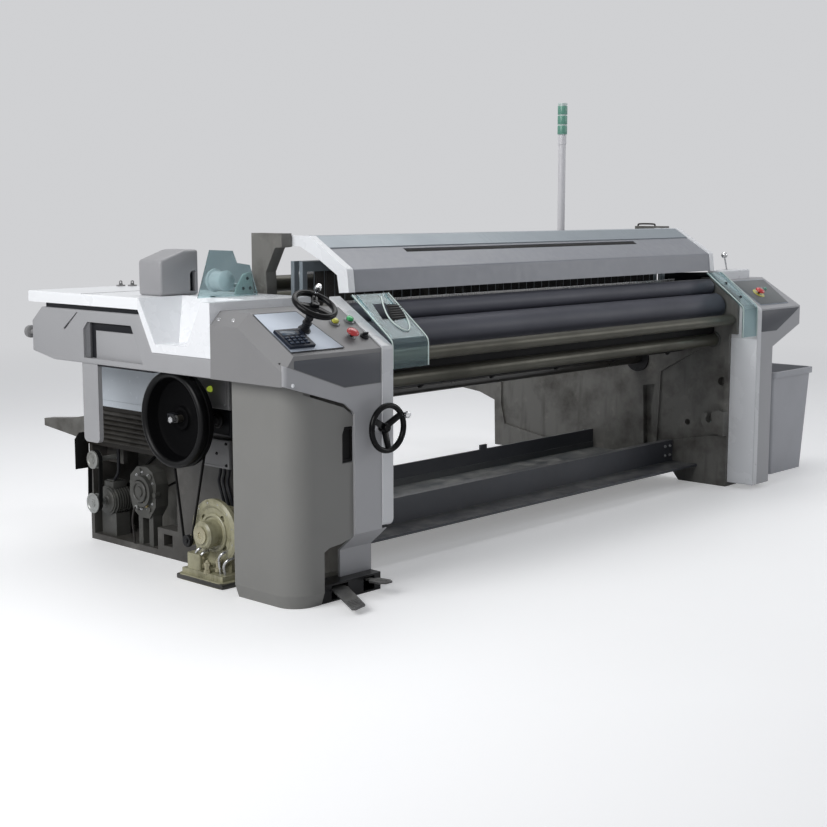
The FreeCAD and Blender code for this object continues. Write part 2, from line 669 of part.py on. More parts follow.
console = prism_x(console_profile(0, console_low), left_face, console_right)
chamfer = 56.0
console = console.makeChamfer(chamfer, [e for e in console.Edges if near(e, 0, left_face)
                                        and e.BoundBox.ZMin > lip_z - 5])
console = rounded(console, corner_round, lambda e: along(e, 2) and near(e, 1, front_face)
                  and e.BoundBox.XMax < left_face + 60)
hollow_left = left_face + chamfer + wall * (math.sqrt(2) - 1)    # a full wall behind the chamfer
console = console.cut(prism_x(console_profile(wall, console_low - 5), hollow_left, console_right + 5))
console = console.cut(box(left_face + wall, left_face + 60, front_face + wall + 20, console_rear - wall,
                          console_low - 5, 1010))
# the front wall goes on down to the arm's upper edge
console = console.fuse(box(left_face + chamfer, console_right, front_face, front_face + wall, 880, console_low + 1))
console = console.cut(prism_y([(left_face - 5, 1003 + seat + 2), (-1805, 887 + seat), (trim_left, 890 + seat),
                               (trim_left, 770), (left_face - 5, 770)], front_face - 5, front_face + wall + seat))
bezels = [slope_rod(x, s, -2, bezel_high, bezel_r) for x, s in
          ((start_x, start_s), (jog_x, jog_s), (stop_x, stop_s), (key_x, key_s))]
stem = slope_rod(wheel_x, wheel_s, -2, stem_high, stem_r).fuse(
    slope_rod(wheel_x, wheel_s, -2, 14, stem_r + 9))
stem = stem.fuse(slope_rod(wheel_x, wheel_s, stem_high, stem_high + stem_nose, stem_nose_r))
console = console.multiFuse(bezels + [stem])
holes = [slope_rod(x, s, -40, bezel_high + 1, plunger_hole) for x, s in
         ((start_x, start_s), (jog_x, jog_s), (stop_x, stop_s), (key_x, key_s))]
console = console.cut(Part.makeCompound(holes))
keep("left_console_housing", console.removeSplitter())

right_rear = -640.0
right_console = prism_x([(right_rear, 780), (right_rear, knee_z), (knee_y, knee_z), (front_face, lip_z),
                         (front_face, 780)], right_in_face, right_end)
hollow = prism_x([(right_rear - wall, 700), (right_rear - wall, knee_z - wall),
                  (knee_y - 4, knee_z - wall), (front_face + wall, lip_z - wall * 0.6),
                  (front_face + wall, 700)], right_in_face - 5, right_end - wall)
right_console = right_console.cut(hollow)
# the housing ends on the arm's slanted back, and its front on the arm's upper edge
right_console = right_console.cut(prism_y([(right_in_face - 5, 700), (right_in_face - 5, 814 + wall + seat),
                                           (right_post, 814 + wall + seat + 3), (right_end + 5, 945),
                                           (right_end + 5, 700)], front_face - 5, post_back + 1))
right_console = right_console.cut(prism_y([
    (right_end + 5, 700), (right_end + 5, 1031), (1874, 992 + seat), (1676, 901 + seat),
    (right_in_face - 5, 903 + seat), (right_in_face - 5, 700)], front_face - 5, front_face + wall + seat))
right_console = right_console.cut(prism_y([(right_in_face - 5, 700), (right_in_face - 5, 860),
                                           (right_post, 860), (right_end + 5, 960), (right_end + 5, 700)],
                                          post_back, right_rear + 5))
right_console = right_console.fuse(slope_rod(right_stop_x, right_stop_s, -2, bezel_high, bezel_r))
right_console = right_console.cut(slope_rod(right_stop_x, right_stop_s, -40, bezel_high + 1, plunger_hole))
keep("right_console_housing", right_console.removeSplitter())

# face plates: thin plates with holes round the bezels
left_plate = slope_poly([(-2075, 24), (-1792, 24), (-1848, slope_long - 18), (-2075, slope_long - 18)],
                        seat, plate_thick)
left_plate = left_plate.cut(slope_rod(wheel_x, wheel_s, -1, 20, stem_r + 9 + seat))
right_plate = slope_poly([(1540, 34), (1850, 34), (1912, slope_long - 26), (1560, slope_long - 20)],
                         seat, plate_thick)
right_plate = right_plate.cut(slope_rod(right_stop_x, right_stop_s, -1, 20, bezel_r + seat))
keep("console_face_plates", group([left_plate, right_plate]))

keypad_high = 14.0
pad_lift = plate_thick + seat
keypad = slope_poly([(-2070, 42), (-1936, 42), (-1936, 156), (-2070, 156)], pad_lift, pad_lift + keypad_high)
keypad = keypad.cut(slope_poly([(-2058, 112), (-1948, 112), (-1948, 146), (-2058, 146)],
                               pad_lift + keypad_high - 3, pad_lift + keypad_high + 1))
keys = [slope_poly([(x, s), (x + 18, s), (x + 18, s + 12), (x, s + 12)], pad_lift + keypad_high,
                   pad_lift + keypad_high + 3)
        for x in (-2058, -2030, -2002, -1974) for s in (54, 72, 90)]
keep("keypad_unit", keypad.multiFuse(keys).removeSplitter())

# ---------------------------------------------------------------- edge trims
lip_round = 22.0
trim_top_y = -690.0
trim_web = 6.0
trim_back = frame_low_front - seat
trim_low = 276.0


def slope_line(y, off):
    """Height of the slope's plane, moved off by a distance square to it."""
    return lip_z + (y - front_face) * math.tan(slope) + off / math.cos(slope)


def trim(x0, x1, low, low_round):
    under = trim_proud - trim_wall
    outer = prism_x([(front_face - trim_proud, low),
                     (front_face - trim_proud, slope_line(front_face - trim_proud, trim_proud)),
                     (trim_top_y, slope_line(trim_top_y, trim_proud)),
                     (trim_top_y, slope_line(trim_top_y, under)),
                     (post_back, slope_line(post_back, under)), (post_back, front_step - seat),
                     (trim_back, front_step - seat), (trim_back, low)], x0, x1)
    outer = rounded(outer, lip_round, lambda e: along(e, 0) and near(e, 1, front_face - trim_proud)
                    and e.BoundBox.ZMin > 900)
    outer = rounded(outer, low_round, lambda e: along(e, 0) and near(e, 1, front_face - trim_proud)
                    and e.BoundBox.ZMin < 900)
    inner = box(x0 + trim_web, x1 - trim_web, front_face + trim_web, trim_back + 1, low - 1,
                slope_line(front_face, 0) - 40)
    return outer.cut(inner).removeSplitter()


keep("edge_trims", group([trim(trim_left, left_in - 12, trim_low, 34), trim(right_trim_in, right_trim_out, 25, 6)]))
trim_right = left_in - 12

# ---------------------------------------------------------------- table, trough and apron
table_front, table_split, table_rear = -75.7, 346.0, 766.0
table_right = left_out - seat


def table_panel(y0, y1):
    slab = box(left_face, table_right, y0, y1, table_low, table_top)
    slab = rounded(slab, 8, lambda e: near(e, 2, table_top))
    return slab.cut(box(left_face + wall, table_right - wall, y0 + wall, y1 - wall, table_low - 1, table_top - wall))


keep("left_table_top", group([table_panel(table_front, table_split - seat),
                              table_panel(table_split, table_rear)]))

ledge_front = console_rear + seat
ledge_rear = table_front - seat
trough_low = 999.0
trough_floor = 1035.0
trough_back, trough_back_top = -2010.0, -1900.0
trough = prism_x([(ledge_front, trough_low), (-170, trough_low), (ledge_rear, table_low),
                  (ledge_rear, table_top), (ledge_front, table_top)], left_face, table_right)
scoop = prism_x([(-76, 1176 + 64), (-193, trough_floor), (-403, trough_floor + 5), (-513, 1240)],
                left_face - 1, trough_back_top + 30)
scoop = scoop.common(prism_y([(left_face - 1, 990), (trough_back, 990), (trough_back, trough_floor),
                              (trough_back_top, table_top), (trough_back_top + 8, 1260),
                              (left_face - 1, 1260)], -600, 0))
trough = trough.cut(scoop)
trough = trough.cut(box(trough_back_top + 20, table_right - wall, ledge_front + wall, -190, trough_low - 1, 1196))
keep("thread_trough", trough.removeSplitter())

apron_deep = 45.0
apron_rear = 744.0
apron_points = [(ledge_front, console_low), (573, console_low), (apron_rear, 948), (apron_rear - 1, 1089),
                (638, table_low - seat), (ledge_rear + 2 * seat, table_low - seat),
                (-170 + 2 * seat, trough_low - seat),
                (ledge_front, trough_low - seat)]
apron_face = Part.Face(Part.makePolygon([V(left_face, y, z) for y, z in apron_points]
                                        + [V(left_face, *apron_points[0])]))
apron = apron_face.extrude(V(apron_deep, 0, 0))
apron_core = apron_face.makeOffset2D(-wall, join=2).extrude(V(apron_deep, 0, 0))
apron_core.translate(V(wall, 0, 0))
apron = apron.cut(apron_core)
window = [(-104, 942), (-24, 1104), (300, 1104), (332, 1072), (332, 942)]
window_rim = [(-122, 932), (-30, 1114), (304, 1114), (342, 1076), (342, 932)]
window_deep = 20.0
apron = apron.fuse(prism_x(window_rim, left_face + wall - 1, left_face + window_deep + 6))
apron = apron.cut(prism_x(window, left_face - 1, left_face + window_deep))
apron = apron.cut(box(left_face, left_face + window_deep + 7, -10, 290, 1088, 1096))
apron = apron.cut(prism_x([(372, 1142), (380, 1142), (496, 1040), (488, 1036)], left_face - 1, left_face + 4))
knob_x, knob_z, knob_end = left_face + 30, 1030.0, 866.0
apron = apron.fuse(rod_y(apron_rear - 5, knob_end - 40, knob_x, knob_z, 11))
apron = apron.fuse(turned([(0.01, 0), (17, 0), (25, 8), (25, 32), (20, 40), (0.01, 40)],
                          (knob_x, knob_end - 40, knob_z), (0, 1, 0)))
keep("side_apron", apron.removeSplitter())

# post that hangs from the apron
hang_x0, hang_x1, hang_y0, hang_y1, hang_low = -2130.0, -2108.0, 240.0, 358.0, 560.0
hanger = box(hang_x0, hang_x1, hang_y0, hang_y1, hang_low, console_low - seat)
hanger = rounded(hanger, 24, lambda e: along(e, 0) and near(e, 2, hang_low))
hanger = hanger.cut(box(hang_x0 + 6, hang_x1 + 1, hang_y0 + 8, hang_y1 - 8, hang_low + 26, console_low))
keep("hanging_post", hanger)

# ---------------------------------------------------------------- bay covers
panel_thick = 12.0
panel_out = bay_face - seat - panel_thick
panel_y0, panel_y1 = 30.0, bay_rear
access_low, access_high = 670.0, 905.0
access = box(panel_out, bay_face - seat, panel_y0, panel_y1, access_low, access_high)
access = rounded(access, 10, lambda e: along(e, 0))
access = access.cut(box(panel_out - 1, panel_out + 3, panel_y0 + 40, panel_y1 - 40, access_low + 30, access_high - 30))
keep("access_panel", access)

louvre_low = 474.0
louvre_high = access_low - seat
rim = 18.0
slat_count = 7
louvre = box(panel_out, bay_face - seat, panel_y0 + 30, panel_y1, louvre_low, louvre_high)
louvre = louvre.cut(box(panel_out - 1, bay_face, panel_y0 + 30 + rim, panel_y1 - rim, louvre_low + rim, louvre_high - rim))
pitch = (louvre_high - louvre_low - 2 * rim) / slat_count
slats = []
for i in range(slat_count):
    z = louvre_low + rim + i * pitch
    slats.append(prism_y([(panel_out - 6, z + 2), (panel_out - 6, z + 6), (bay_face - seat, z + pitch + 2),
                          (bay_face - seat, z + pitch - 2)], panel_y0 + 29 + rim, panel_y1 - rim + 1))
keep("louvre_panel", louvre.multiFuse(slats).removeSplitter())

terminal_x0, terminal_x1 = -1900.0, bay_face - seat
terminal_y0, terminal_y1 = -386.0, -120.0
terminal_z0, terminal_z1 = 745.0, 905.0
terminal = box(terminal_x0, terminal_x1, terminal_y0, terminal_y1, terminal_z0, terminal_z1)
terminal = rounded(terminal, 8, lambda e: near(e, 0, terminal_x0))
lamp_y, lamp_z = -270.0, 830.0
terminal = terminal.fuse(turned([(0.01, 0), (15, 0), (15, 5), (11, 5), (11, 14), (7, 18), (0.01, 18)],
                                (terminal_x0, lamp_y, lamp_z), (-1, 0, 0)))
keep("terminal_box", terminal.removeSplitter())

# ---------------------------------------------------------------- feeder and guards
feeder_x0, feeder_x1, feeder_y0, feeder_y1 = -2010.0, -1800.0, -75.0, 85.0
feeder_low = table_top + seat
feeder = prism_y([(feeder_x0, feeder_low), (feeder_x0, 1380), (-1876, 1425), (feeder_x1, 1425),
                  (feeder_x1, feeder_low)], feeder_y0, feeder_y1)
feeder = rounded(feeder, 14, lambda e: along(e, 1) and e.BoundBox.ZMin > 1300)
feeder = feeder.cut(prism_y([(-1847, 1243), (-1847, 1318), (-1836, 1334), (-1814, 1334), (-1814, 1243)],
                            feeder_y0 - 1, feeder_y0 + 30))
feeder = feeder.cut(box(feeder_x0 + wall, -1860, feeder_y0 + wall, feeder_y1 - wall, feeder_low - 1, 1360))
keep("feeder_housing", feeder)

guard_thick = 5.0


def bent_sheet(outline, thick, x0, x1):
    """A folded sheet: an open (y, z) line thickened to one side and extruded along X."""
    back = []
    for i, (y, z) in enumerate(outline):
        normals = []
        for a, b in ((i - 1, i), (i, i + 1)):
            if a >= 0 and b < len(outline):
                dy, dz = outline[b][0] - outline[a][0], outline[b][1] - outline[a][1]
                n = math.hypot(dy, dz)
                normals.append((-dz / n, dy / n))
        ny = sum(n[0] for n in normals)
        nz = sum(n[1] for n in normals)
        size = math.hypot(ny, nz)
        share = thick / (size / len(normals)) if len(normals) == 2 else thick
        if len(normals) == 2:
            share = thick / math.sqrt((1 + normals[0][0] * normals[1][0] + normals[0][1] * normals[1][1]) / 2)
        back.append((y + ny / size * share, z + nz / size * share))
    return prism_x(outline + back[::-1], x0, x1)


def roller_guard(x0, x1, lip_low):
    sheet_line = [(-760, 1240), (front_face + 12, 1066), (front_face, 1046), (front_face, lip_low)]
    shield = bent_sheet(sheet_line, guard_thick, x0, x1)
    ribs = [bent_sheet([(-770, 1240), (front_face + 22, 1066)], 12, x, x + guard_thick)
            for x in (x0 + 24, x1 - 24 - guard_thick)]
    return shield.multiFuse(ribs).removeSplitter()


left_guard = roller_guard(trim_right + seat, -1300, 940)
left_guard = left_guard.cut(prism_y([(-1470, 1140), (-1380, 1140), (-1368, 1200), (-1452, 1200)], -1000, -700))
right_guard = roller_guard(1296, right_trim_in - seat, 886)
feeder_guard = prism_y([(-1987, feeder_low), (-1918, 1430), (-1791, 1424), (-1768, 1371), (-1695, 1360),
                        (-1652, feeder_low)], -300, -300 + guard_thick)
feeder_guard = feeder_guard.fuse(box(-1890, -1660, -300, -262, feeder_low, feeder_low + guard_thick))
keep("clear_guards", group([left_guard, right_guard, feeder_guard.removeSplitter()]))

# ---------------------------------------------------------------- right top box and ball lever
top_box_x0, top_box_x1 = 1500.0, 1800.0
top_box_y0, top_box_y1 = -738.0, right_rear
top_box_high = 1245.0
lever_x, lever_y, lever_z = 1632.0, -690.0, 1225.0
lever_lean = -38.0           # the ball stands this far from the pin along X
lever_pin_r = 5.0
lever_slot = 15.0
top_box = box(top_box_x0, top_box_x1, top_box_y0, top_box_y1, knee_z + seat, top_box_high)
top_box = rounded(top_box, 10, lambda e: near(e, 2, top_box_high))
top_box = top_box.cut(box(top_box_x0 + 8, top_box_x1 - 8, top_box_y0 + 8, top_box_y1 - 8, knee_z - 1,
                          top_box_high - 8))
top_box = top_box.cut(box(lever_x - lever_slot, lever_x + lever_slot, lever_y - 34, lever_y + 34,
                          top_box_high - 9, top_box_high + 1))
top_box = top_box.fuse(box(lever_x - 26, lever_x - 14, lever_y - 12, lever_y + 12, lever_z - 12, top_box_high - 8))
top_box = top_box.fuse(box(lever_x + 14, lever_x + 26, lever_y - 12, lever_y + 12, lever_z - 12, top_box_high - 8))
top_box = top_box.cut(rod_x(lever_x - 30, lever_x + 30, lever_y, lever_z, lever_pin_r + run))
keep("right_top_box", top_box.removeSplitter())
ball_r = 19.0
ball_flat_r = 1.5            # the small turned flat on the ball's crown
lever_long = 106.0
stem_r = 4.5
lever_axis = V(lever_lean, 0, lever_long)
ball_at = lever_axis.Length
neck_at = ball_at - math.sqrt(ball_r ** 2 - stem_r ** 2)
crown_at = ball_at + math.sqrt(ball_r ** 2 - ball_flat_r ** 2)
half = [Part.makeLine(V(0, 0, 0), V(stem_r, 0, 0)), Part.makeLine(V(stem_r, 0, 0), V(stem_r, 0, neck_at)),
        Part.Arc(V(stem_r, 0, neck_at), V(ball_r, 0, ball_at), V(ball_flat_r, 0, crown_at)).toShape(),
        Part.makeLine(V(ball_flat_r, 0, crown_at), V(0, 0, crown_at)),
        Part.makeLine(V(0, 0, crown_at), V(0, 0, 0))]
stem = Part.Face(Part.Wire(half)).revolve(V(0, 0, 0), V(0, 0, 1), 360)
stem.Placement = FreeCAD.Placement(V(lever_x, lever_y, lever_z), FreeCAD.Rotation(V(0, 0, 1), lever_axis))
lever = rod_x(lever_x - 25, lever_x + 25, lever_y, lever_z, lever_pin_r).fuse(stem)
keep("ball_lever", lever.removeSplitter())

# ---------------------------------------------------------------- hood
arch_left = (left_in + arch_gap, left_in + arch_gap + arch_wide)
arch_right = (right_in - arch_gap - arch_wide, right_in - arch_gap)
hood_outer = [(hinge_y, hood_top), (hood_ridge, hood_top), (hood_knee_y, hood_knee_z), (hood_low_y, hood_low_z)]
hood_x0, hood_x1 = arch_left[1], arch_right[0]
cover = bent_sheet(hood_outer, hood_wall, hood_x0, hood_x1)
cover = rounded(cover, 14, lambda e: along(e, 0) and near(e, 1, hood_knee_y) and near(e, 2, hood_knee_z))
cover = cover.fuse(prism_x([(hood_low_y, hood_low_z), (hood_low_y + hood_wall, hood_low_z),
                            (hood_low_y + 44, hood_low_z + 8), (hood_low_y + 44, hood_low_z + 14),
                            (hood_low_y + 6, hood_low_z + 14)], hood_x0, hood_x1))
hood_tilt = math.atan2(hood_top - hood_knee_z, hood_ridge - hood_knee_y)
recess_x0, recess_x1 = -1013.0, 826.0
recess_y, recess_wide, recess_deep = -590.0, 26.0, 5.0


def on_hood(y, off):
    """(y, z) on the hood's front slope, moved off square to it."""
    z = hood_knee_z + (y - hood_knee_y) * math.tan(hood_tilt)
    return (y - off * math.sin(hood_tilt), z + off * math.cos(hood_tilt))


cover = cover.cut(prism_x([on_hood(recess_y - recess_wide / 2, -recess_deep), on_hood(recess_y + recess_wide / 2, -recess_deep),
                           on_hood(recess_y + recess_wide / 2, 5), on_hood(recess_y - recess_wide / 2, 5)],
                          recess_x0, recess_x1))
keep("hood_cover", cover.removeSplitter())
rail_thick = 4.0
rail_front_y = -563.0
rail = prism_x([(hinge_y, hood_top), (hood_ridge, hood_top), on_hood(rail_front_y, 0), on_hood(rail_front_y, rail_thick),
                (hood_ridge - rail_thick * math.tan(hood_tilt / 2), hood_top + rail_thick), (hinge_y, hood_top + rail_thick)],
               hood_x0 + 4, hood_x1 - 4)
keep("hood_top_rail", rail)
arch_proud = 6.0
eye_r = 26.0


def end_arch(x0, x1):
    p = arch_proud
    outer = [(hinge_y, hood_top + p), (hood_ridge - p * 0.3, hood_top + p), (hood_knee_y - p * 0.8, hood_knee_z + p * 0.6),
             (hood_low_y - p, hood_low_z)]
    inner = [(-668, hood_low_z - 4), (-655, 1321), (-540, 1387), (-425, 1438), (hinge_y, 1440)]
    arch = prism_x(outer + inner, x0, x1)
    arch = rounded(arch, 20, lambda e: along(e, 0) and e.BoundBox.YMax < hood_knee_y + 5 and e.BoundBox.ZMin > 1300)
    arch = arch.fuse(rod_x(x0, x1, hinge_y, hinge_z, eye_r - 2))
    return arch.cut(rod_x(x0 - 1, x1 + 1, hinge_y, hinge_z, hinge_r + run)).removeSplitter()


keep("hood_end_arches", group([end_arch(*arch_left), end_arch(*arch_right)]))

# ---------------------------------------------------------------- sley, reed and heald frames
sley_x0, sley_x1 = left_in + roller_gap, right_in - roller_gap
race_low, race_high = 1016.0, 1060.0
race_front, race_rear = sley_y - 26.0, sley_y + 26.0
reed_half = 7.0
reed_top = 1196.0
reed_groove = 12.0
sley = rod_x(sley_x0, sley_x1, sley_y, sley_z, sley_r).fuse(rod_x(left_out, right_out, sley_y, sley_z, journal_r))
race_x0, race_x1 = left_in + 90, right_in - 90
race = box(race_x0, race_x1, race_front, race_rear, race_low, race_high)
race = race.cut(box(race_x0 - 1, race_x1 + 1, sley_y - reed_half - seat, sley_y + reed_half + seat,
                    race_high - reed_groove, race_high + 1))
sword_count = 6
swords = []
for i in range(sword_count):
    x = race_x0 + 60 + i * (race_x1 - race_x0 - 120) / (sword_count - 1)
    swords.append(prism_x([(sley_y - 40, sley_z), (sley_y - 20, race_low + 1), (sley_y + 20, race_low + 1),
                           (sley_y + 40, sley_z), (sley_y, sley_z - 42)], x - 10, x + 10))
keep("sley", sley.multiFuse([race] + swords).removeSplitter())
reed_x0, reed_x1 = race_x0 + 10, race_x1 - 10
reed_low = race_high - reed_groove + seat
dent_count = 70
baulk = 18.0
reed_parts = [box(reed_x0, reed_x1, sley_y - reed_half, sley_y + reed_half, reed_low, reed_low + baulk + 8),
              box(reed_x0, reed_x1, sley_y - reed_half, sley_y + reed_half, reed_top - baulk, reed_top)]
for i in range(dent_count):
    x = reed_x0 + 3 + i * (reed_x1 - reed_x0 - 6) / (dent_count - 1)
    reed_parts.append(box(x - 2, x + 2, sley_y - 3, sley_y + 3, reed_low + baulk, reed_top - baulk + 1))
keep("reed", reed_parts[0].multiFuse(reed_parts[1:]).removeSplitter())

heald_low, heald_high = 942.0, 1372.0
heald_bar = 46.0
heald_stay = 28.0
heald_count = 44
heald_x0, heald_x1 = left_in + heald_inset, right_in - heald_inset


def heald_frame(y):
    y0, y1 = y - heald_thick / 2, y + heald_thick / 2
    parts = [box(heald_x0, heald_x1, y0, y1, heald_high - heald_bar, heald_high),
             box(heald_x0, heald_x1, y0, y1, heald_low, heald_low + heald_bar),
             box(heald_x0, heald_x0 + heald_stay, y0, y1, heald_low, heald_high),
             box(heald_x1 - heald_stay, heald_x1, y0, y1, heald_low, heald_high)]
    for i in range(heald_count):
        x = heald_x0 + 80 + i * (heald_x1 - heald_x0 - 160) / (heald_count - 1)
        parts.append(box(x - 1.5, x + 1.5, y - 1, y + 1, heald_low + heald_bar - 1, heald_high - heald_bar + 1))
    return parts[0].multiFuse(parts[1:]).removeSplitter()


keep("heald_frame_a", heald_frame(heald_a_y))
keep("heald_frame_b", heald_frame(heald_b_y))

# ---------------------------------------------------------------- handwheels
wheel_hub_r = 19.0
hub_gap = 0.5


def handwheel(rim_r, tube_r, spoke_count, bore, hub_len, grip_angle, pin_len, rim_drop):
    """A dished handwheel turned about +Z, its hub's foot at the origin."""
    rim_z = hub_len - rim_drop
    section = [(rim_r + tube_r * math.cos(math.radians(a)), rim_z + tube_r * math.sin(math.radians(a)))
               for a in range(0, 360, 60)]
    body = turned(section, (0, 0, 0), (0, 0, 1))
    hub = Part.makeCylinder(wheel_hub_r, hub_len, V(0, 0, 0), V(0, 0, 1))
    parts = [hub]
    for i in range(spoke_count):
        a = math.radians(grip_angle + i * 360.0 / spoke_count)
        spoke = prism_y([(wheel_hub_r - 4, hub_len * 0.25), (rim_r, rim_z - 5), (rim_r, rim_z + 5),
                         (wheel_hub_r - 4, hub_len * 0.7)], -spoke_half, spoke_half)
        spoke.rotate(V(0, 0, 0), V(0, 0, 1), math.degrees(a))
        parts.append(spoke)
    a = math.radians(grip_angle)
    pin_foot = V(rim_r * math.cos(a), rim_r * math.sin(a), rim_z)
    parts.append(Part.makeCylinder(grip_pin_r, tube_r + pin_len, pin_foot, V(0, 0, 1)))
    return body.multiFuse(parts).cut(Part.makeCylinder(bore, hub_len - 8, V(0, 0, -1), V(0, 0, 1))).removeSplitter()


def grip(rim_r, grip_angle, start, knob_r, length):
    """The revolving knob on a handwheel's pin, bored blind."""
    a = math.radians(grip_angle)
    foot = (rim_r * math.cos(a), rim_r * math.sin(a), start)
    knob = turned([(0.01, 0), (knob_r * 0.55, 0), (knob_r * 0.6, length * 0.25), (knob_r, length * 0.55),
                   (knob_r * 0.95, length * 0.8), (knob_r * 0.55, length), (0.01, length)], foot, (0, 0, 1))
    return knob.cut(Part.makeCylinder(grip_pin_r + run, length * 0.7, V(foot[0], foot[1], start - 1), V(0, 0, 1)))


grip_pin_r = 5.0
grip_long = 42.0
grip_r = 14.0
pin_reach = 24.0
console_rim_r, front_rim_r = 86.0, 94.0
rim_tube_r = 8.5
spoke_half = 6.0
spokes = 3
console_grip_angle = 50.0
front_grip_angle = 33.0
console_hub_len = 42.0
console_rim_drop = 12.0
front_hub_len = 40.0
front_rim_drop = 2.0


def place(shape, origin, axis, x_dir):
    """Move a shape from its own frame: origin, +Z on axis, +X on x_dir."""
    z = V(*axis)
    z.normalize()
    x = V(*x_dir)
    y = z.cross(x)
    matrix = FreeCAD.Matrix(x.x, y.x, z.x, origin[0], x.y, y.y, z.y, origin[1], x.z, y.z, z.z, origin[2], 0, 0, 0, 1)
    moved = shape.copy()
    moved.Placement = FreeCAD.Placement(matrix)
    return moved


slope_up = (0, -math.sin(slope), math.cos(slope))
hub_foot = on_slope(wheel_x, wheel_s, stem_high + hub_gap)
console_wheel = handwheel(console_rim_r, rim_tube_r, spokes, stem_nose_r + run, console_hub_len,
                          console_grip_angle, pin_reach, console_rim_drop)
console_knob = grip(console_rim_r, console_grip_angle, console_hub_len - console_rim_drop + rim_tube_r + hub_gap,
                    grip_r, grip_long)
keep("console_handwheel", place(console_wheel, hub_foot, slope_up, (1, 0, 0)))
keep("console_wheel_grip", place(console_knob, hub_foot, slope_up, (1, 0, 0)))

hand_foot = (hand_x, front_face - hand_boss - hub_gap, hand_z)
front_wheel = handwheel(front_rim_r, rim_tube_r, spokes, 0.5, front_hub_len, front_grip_angle, pin_reach,
                        front_rim_drop)
front_shaft = Part.makeCylinder(hand_shaft_r, hand_boss + wall + 22 + hub_gap, V(0, 0, -hand_boss - wall - 22 - hub_gap),
                                V(0, 0, 1))
front_shaft = front_shaft.fuse(Part.makeCylinder(16, 12, V(0, 0, -hand_boss - wall - hub_gap - 12.5), V(0, 0, 1)))
front_shaft = front_shaft.fuse(Part.makeCylinder(2, 12, V(0, 0, -2), V(0, 0, 1)))
front_wheel = front_wheel.fuse(front_shaft).removeSplitter()
front_knob = grip(front_rim_r, front_grip_angle, front_hub_len - front_rim_drop + rim_tube_r + hub_gap,
                  grip_r, grip_long)
keep("front_handwheel", place(front_wheel, hand_foot, (0, -1, 0), (1, 0, 0)))
keep("front_wheel_grip", place(front_knob, hand_foot, (0, -1, 0), (1, 0, 0)))

# ---------------------------------------------------------------- buttons and key
button_travel = 4.0
plunger_tail = 22.0


def slope_turned(profile, x, s):
    """A piece turned about the slope's normal, heights counted from the slope."""
    return turned(profile, on_slope(x, s), slope_up)


def push_button(x, s, cap_r, cap_high, cap_gap):
    low = bezel_high + cap_gap
    return slope_turned([(0.01, -plunger_tail), (plunger_r, -plunger_tail), (plunger_r, low), (cap_r, low),
                         (cap_r, low + cap_high - 3), (cap_r - 3, low + cap_high), (0.01, low + cap_high)], x, s)


keep("start_button", push_button(start_x, start_s, button_r, 8, button_travel + 1))
keep("jog_button", push_button(jog_x, jog_s, button_r, 8, button_travel + 1))
mushroom_r, mushroom_high, mushroom_neck = 20.0, 13.0, 12.0
keep("left_stop_button", push_button(stop_x, stop_s, mushroom_r, mushroom_high, mushroom_neck))
keep("right_stop_button", push_button(right_stop_x, right_stop_s, mushroom_r, mushroom_high, mushroom_neck))
key = slope_rod(key_x, key_s, bezel_high + seat, bezel_high + 8, 14)
key = key.fuse(slope_rod(key_x, key_s, -plunger_tail, bezel_high + 2, plunger_r))
key = key.fuse(slope_poly([(key_x - 12, key_s - 4), (key_x + 12, key_s - 4), (key_x + 12, key_s + 4),
                           (key_x - 12, key_s + 4)], bezel_high + 7, bezel_high + 18))
keep("key_switch", key.removeSplitter())

# ---------------------------------------------------------------- pedals
pedal_y, pedal_z, pedal_pin_r = -905.0, 44.0, 8.0
pedal_hub_r = pedal_pin_r + 7
pedal_thick = 8.0
pedal_x0, pedal_x1, pedal_y0, pedal_y1 = -1908.0, -1562.0, -966.0, -870.0
pedal_wall = 8.0
pedal_side = 4.0             # side play of a pedal in its window
left_hub = (-1850.0, -1762.0)
right_hub = (-1664.0, -1606.0)
pedal_box = box(pedal_x0, pedal_x1, pedal_y0, pedal_y1, 0, foot_low - seat)
pedal_box = rounded(pedal_box, 6, lambda e: along(e, 2) and near(e, 1, pedal_y0))
pedal_box = pedal_box.cut(box(pedal_x0 + pedal_wall, pedal_x1 - pedal_wall, pedal_y0 + pedal_wall,
                              pedal_y1 - pedal_wall, pedal_wall, foot_low - pedal_wall))
for hub in (left_hub, right_hub):
    pedal_box = pedal_box.cut(box(hub[0] - pedal_side, hub[1] + pedal_side, pedal_y0 - 1,
                                  pedal_y0 + pedal_wall + 1, pedal_wall, foot_low - pedal_wall))
keep("pedal_box", pedal_box.fuse(rod_x(pedal_x0 + 2, pedal_x1 - 2, pedal_y, pedal_z, pedal_pin_r)).removeSplitter())


def pedal(hub, plan, tip_y, tip_z):
    """A hub with a flat blade. The plan gives its (x, y) outline, and it slopes to tip_z."""
    root_z = pedal_z + 4
    blade = prism_x([(pedal_y, root_z), (tip_y, tip_z), (tip_y, tip_z + pedal_thick), (pedal_y, root_z + pedal_thick)],
                    pedal_x0 - 100, pedal_x1 + 100)
    both = rod_x(hub[0], hub[1], pedal_y, pedal_z, pedal_hub_r).fuse(blade.common(prism_z(plan, -1, 200)))
    return both.cut(rod_x(hub[0] - 1, hub[1] + 1, pedal_y, pedal_z, pedal_pin_r + run)).removeSplitter()


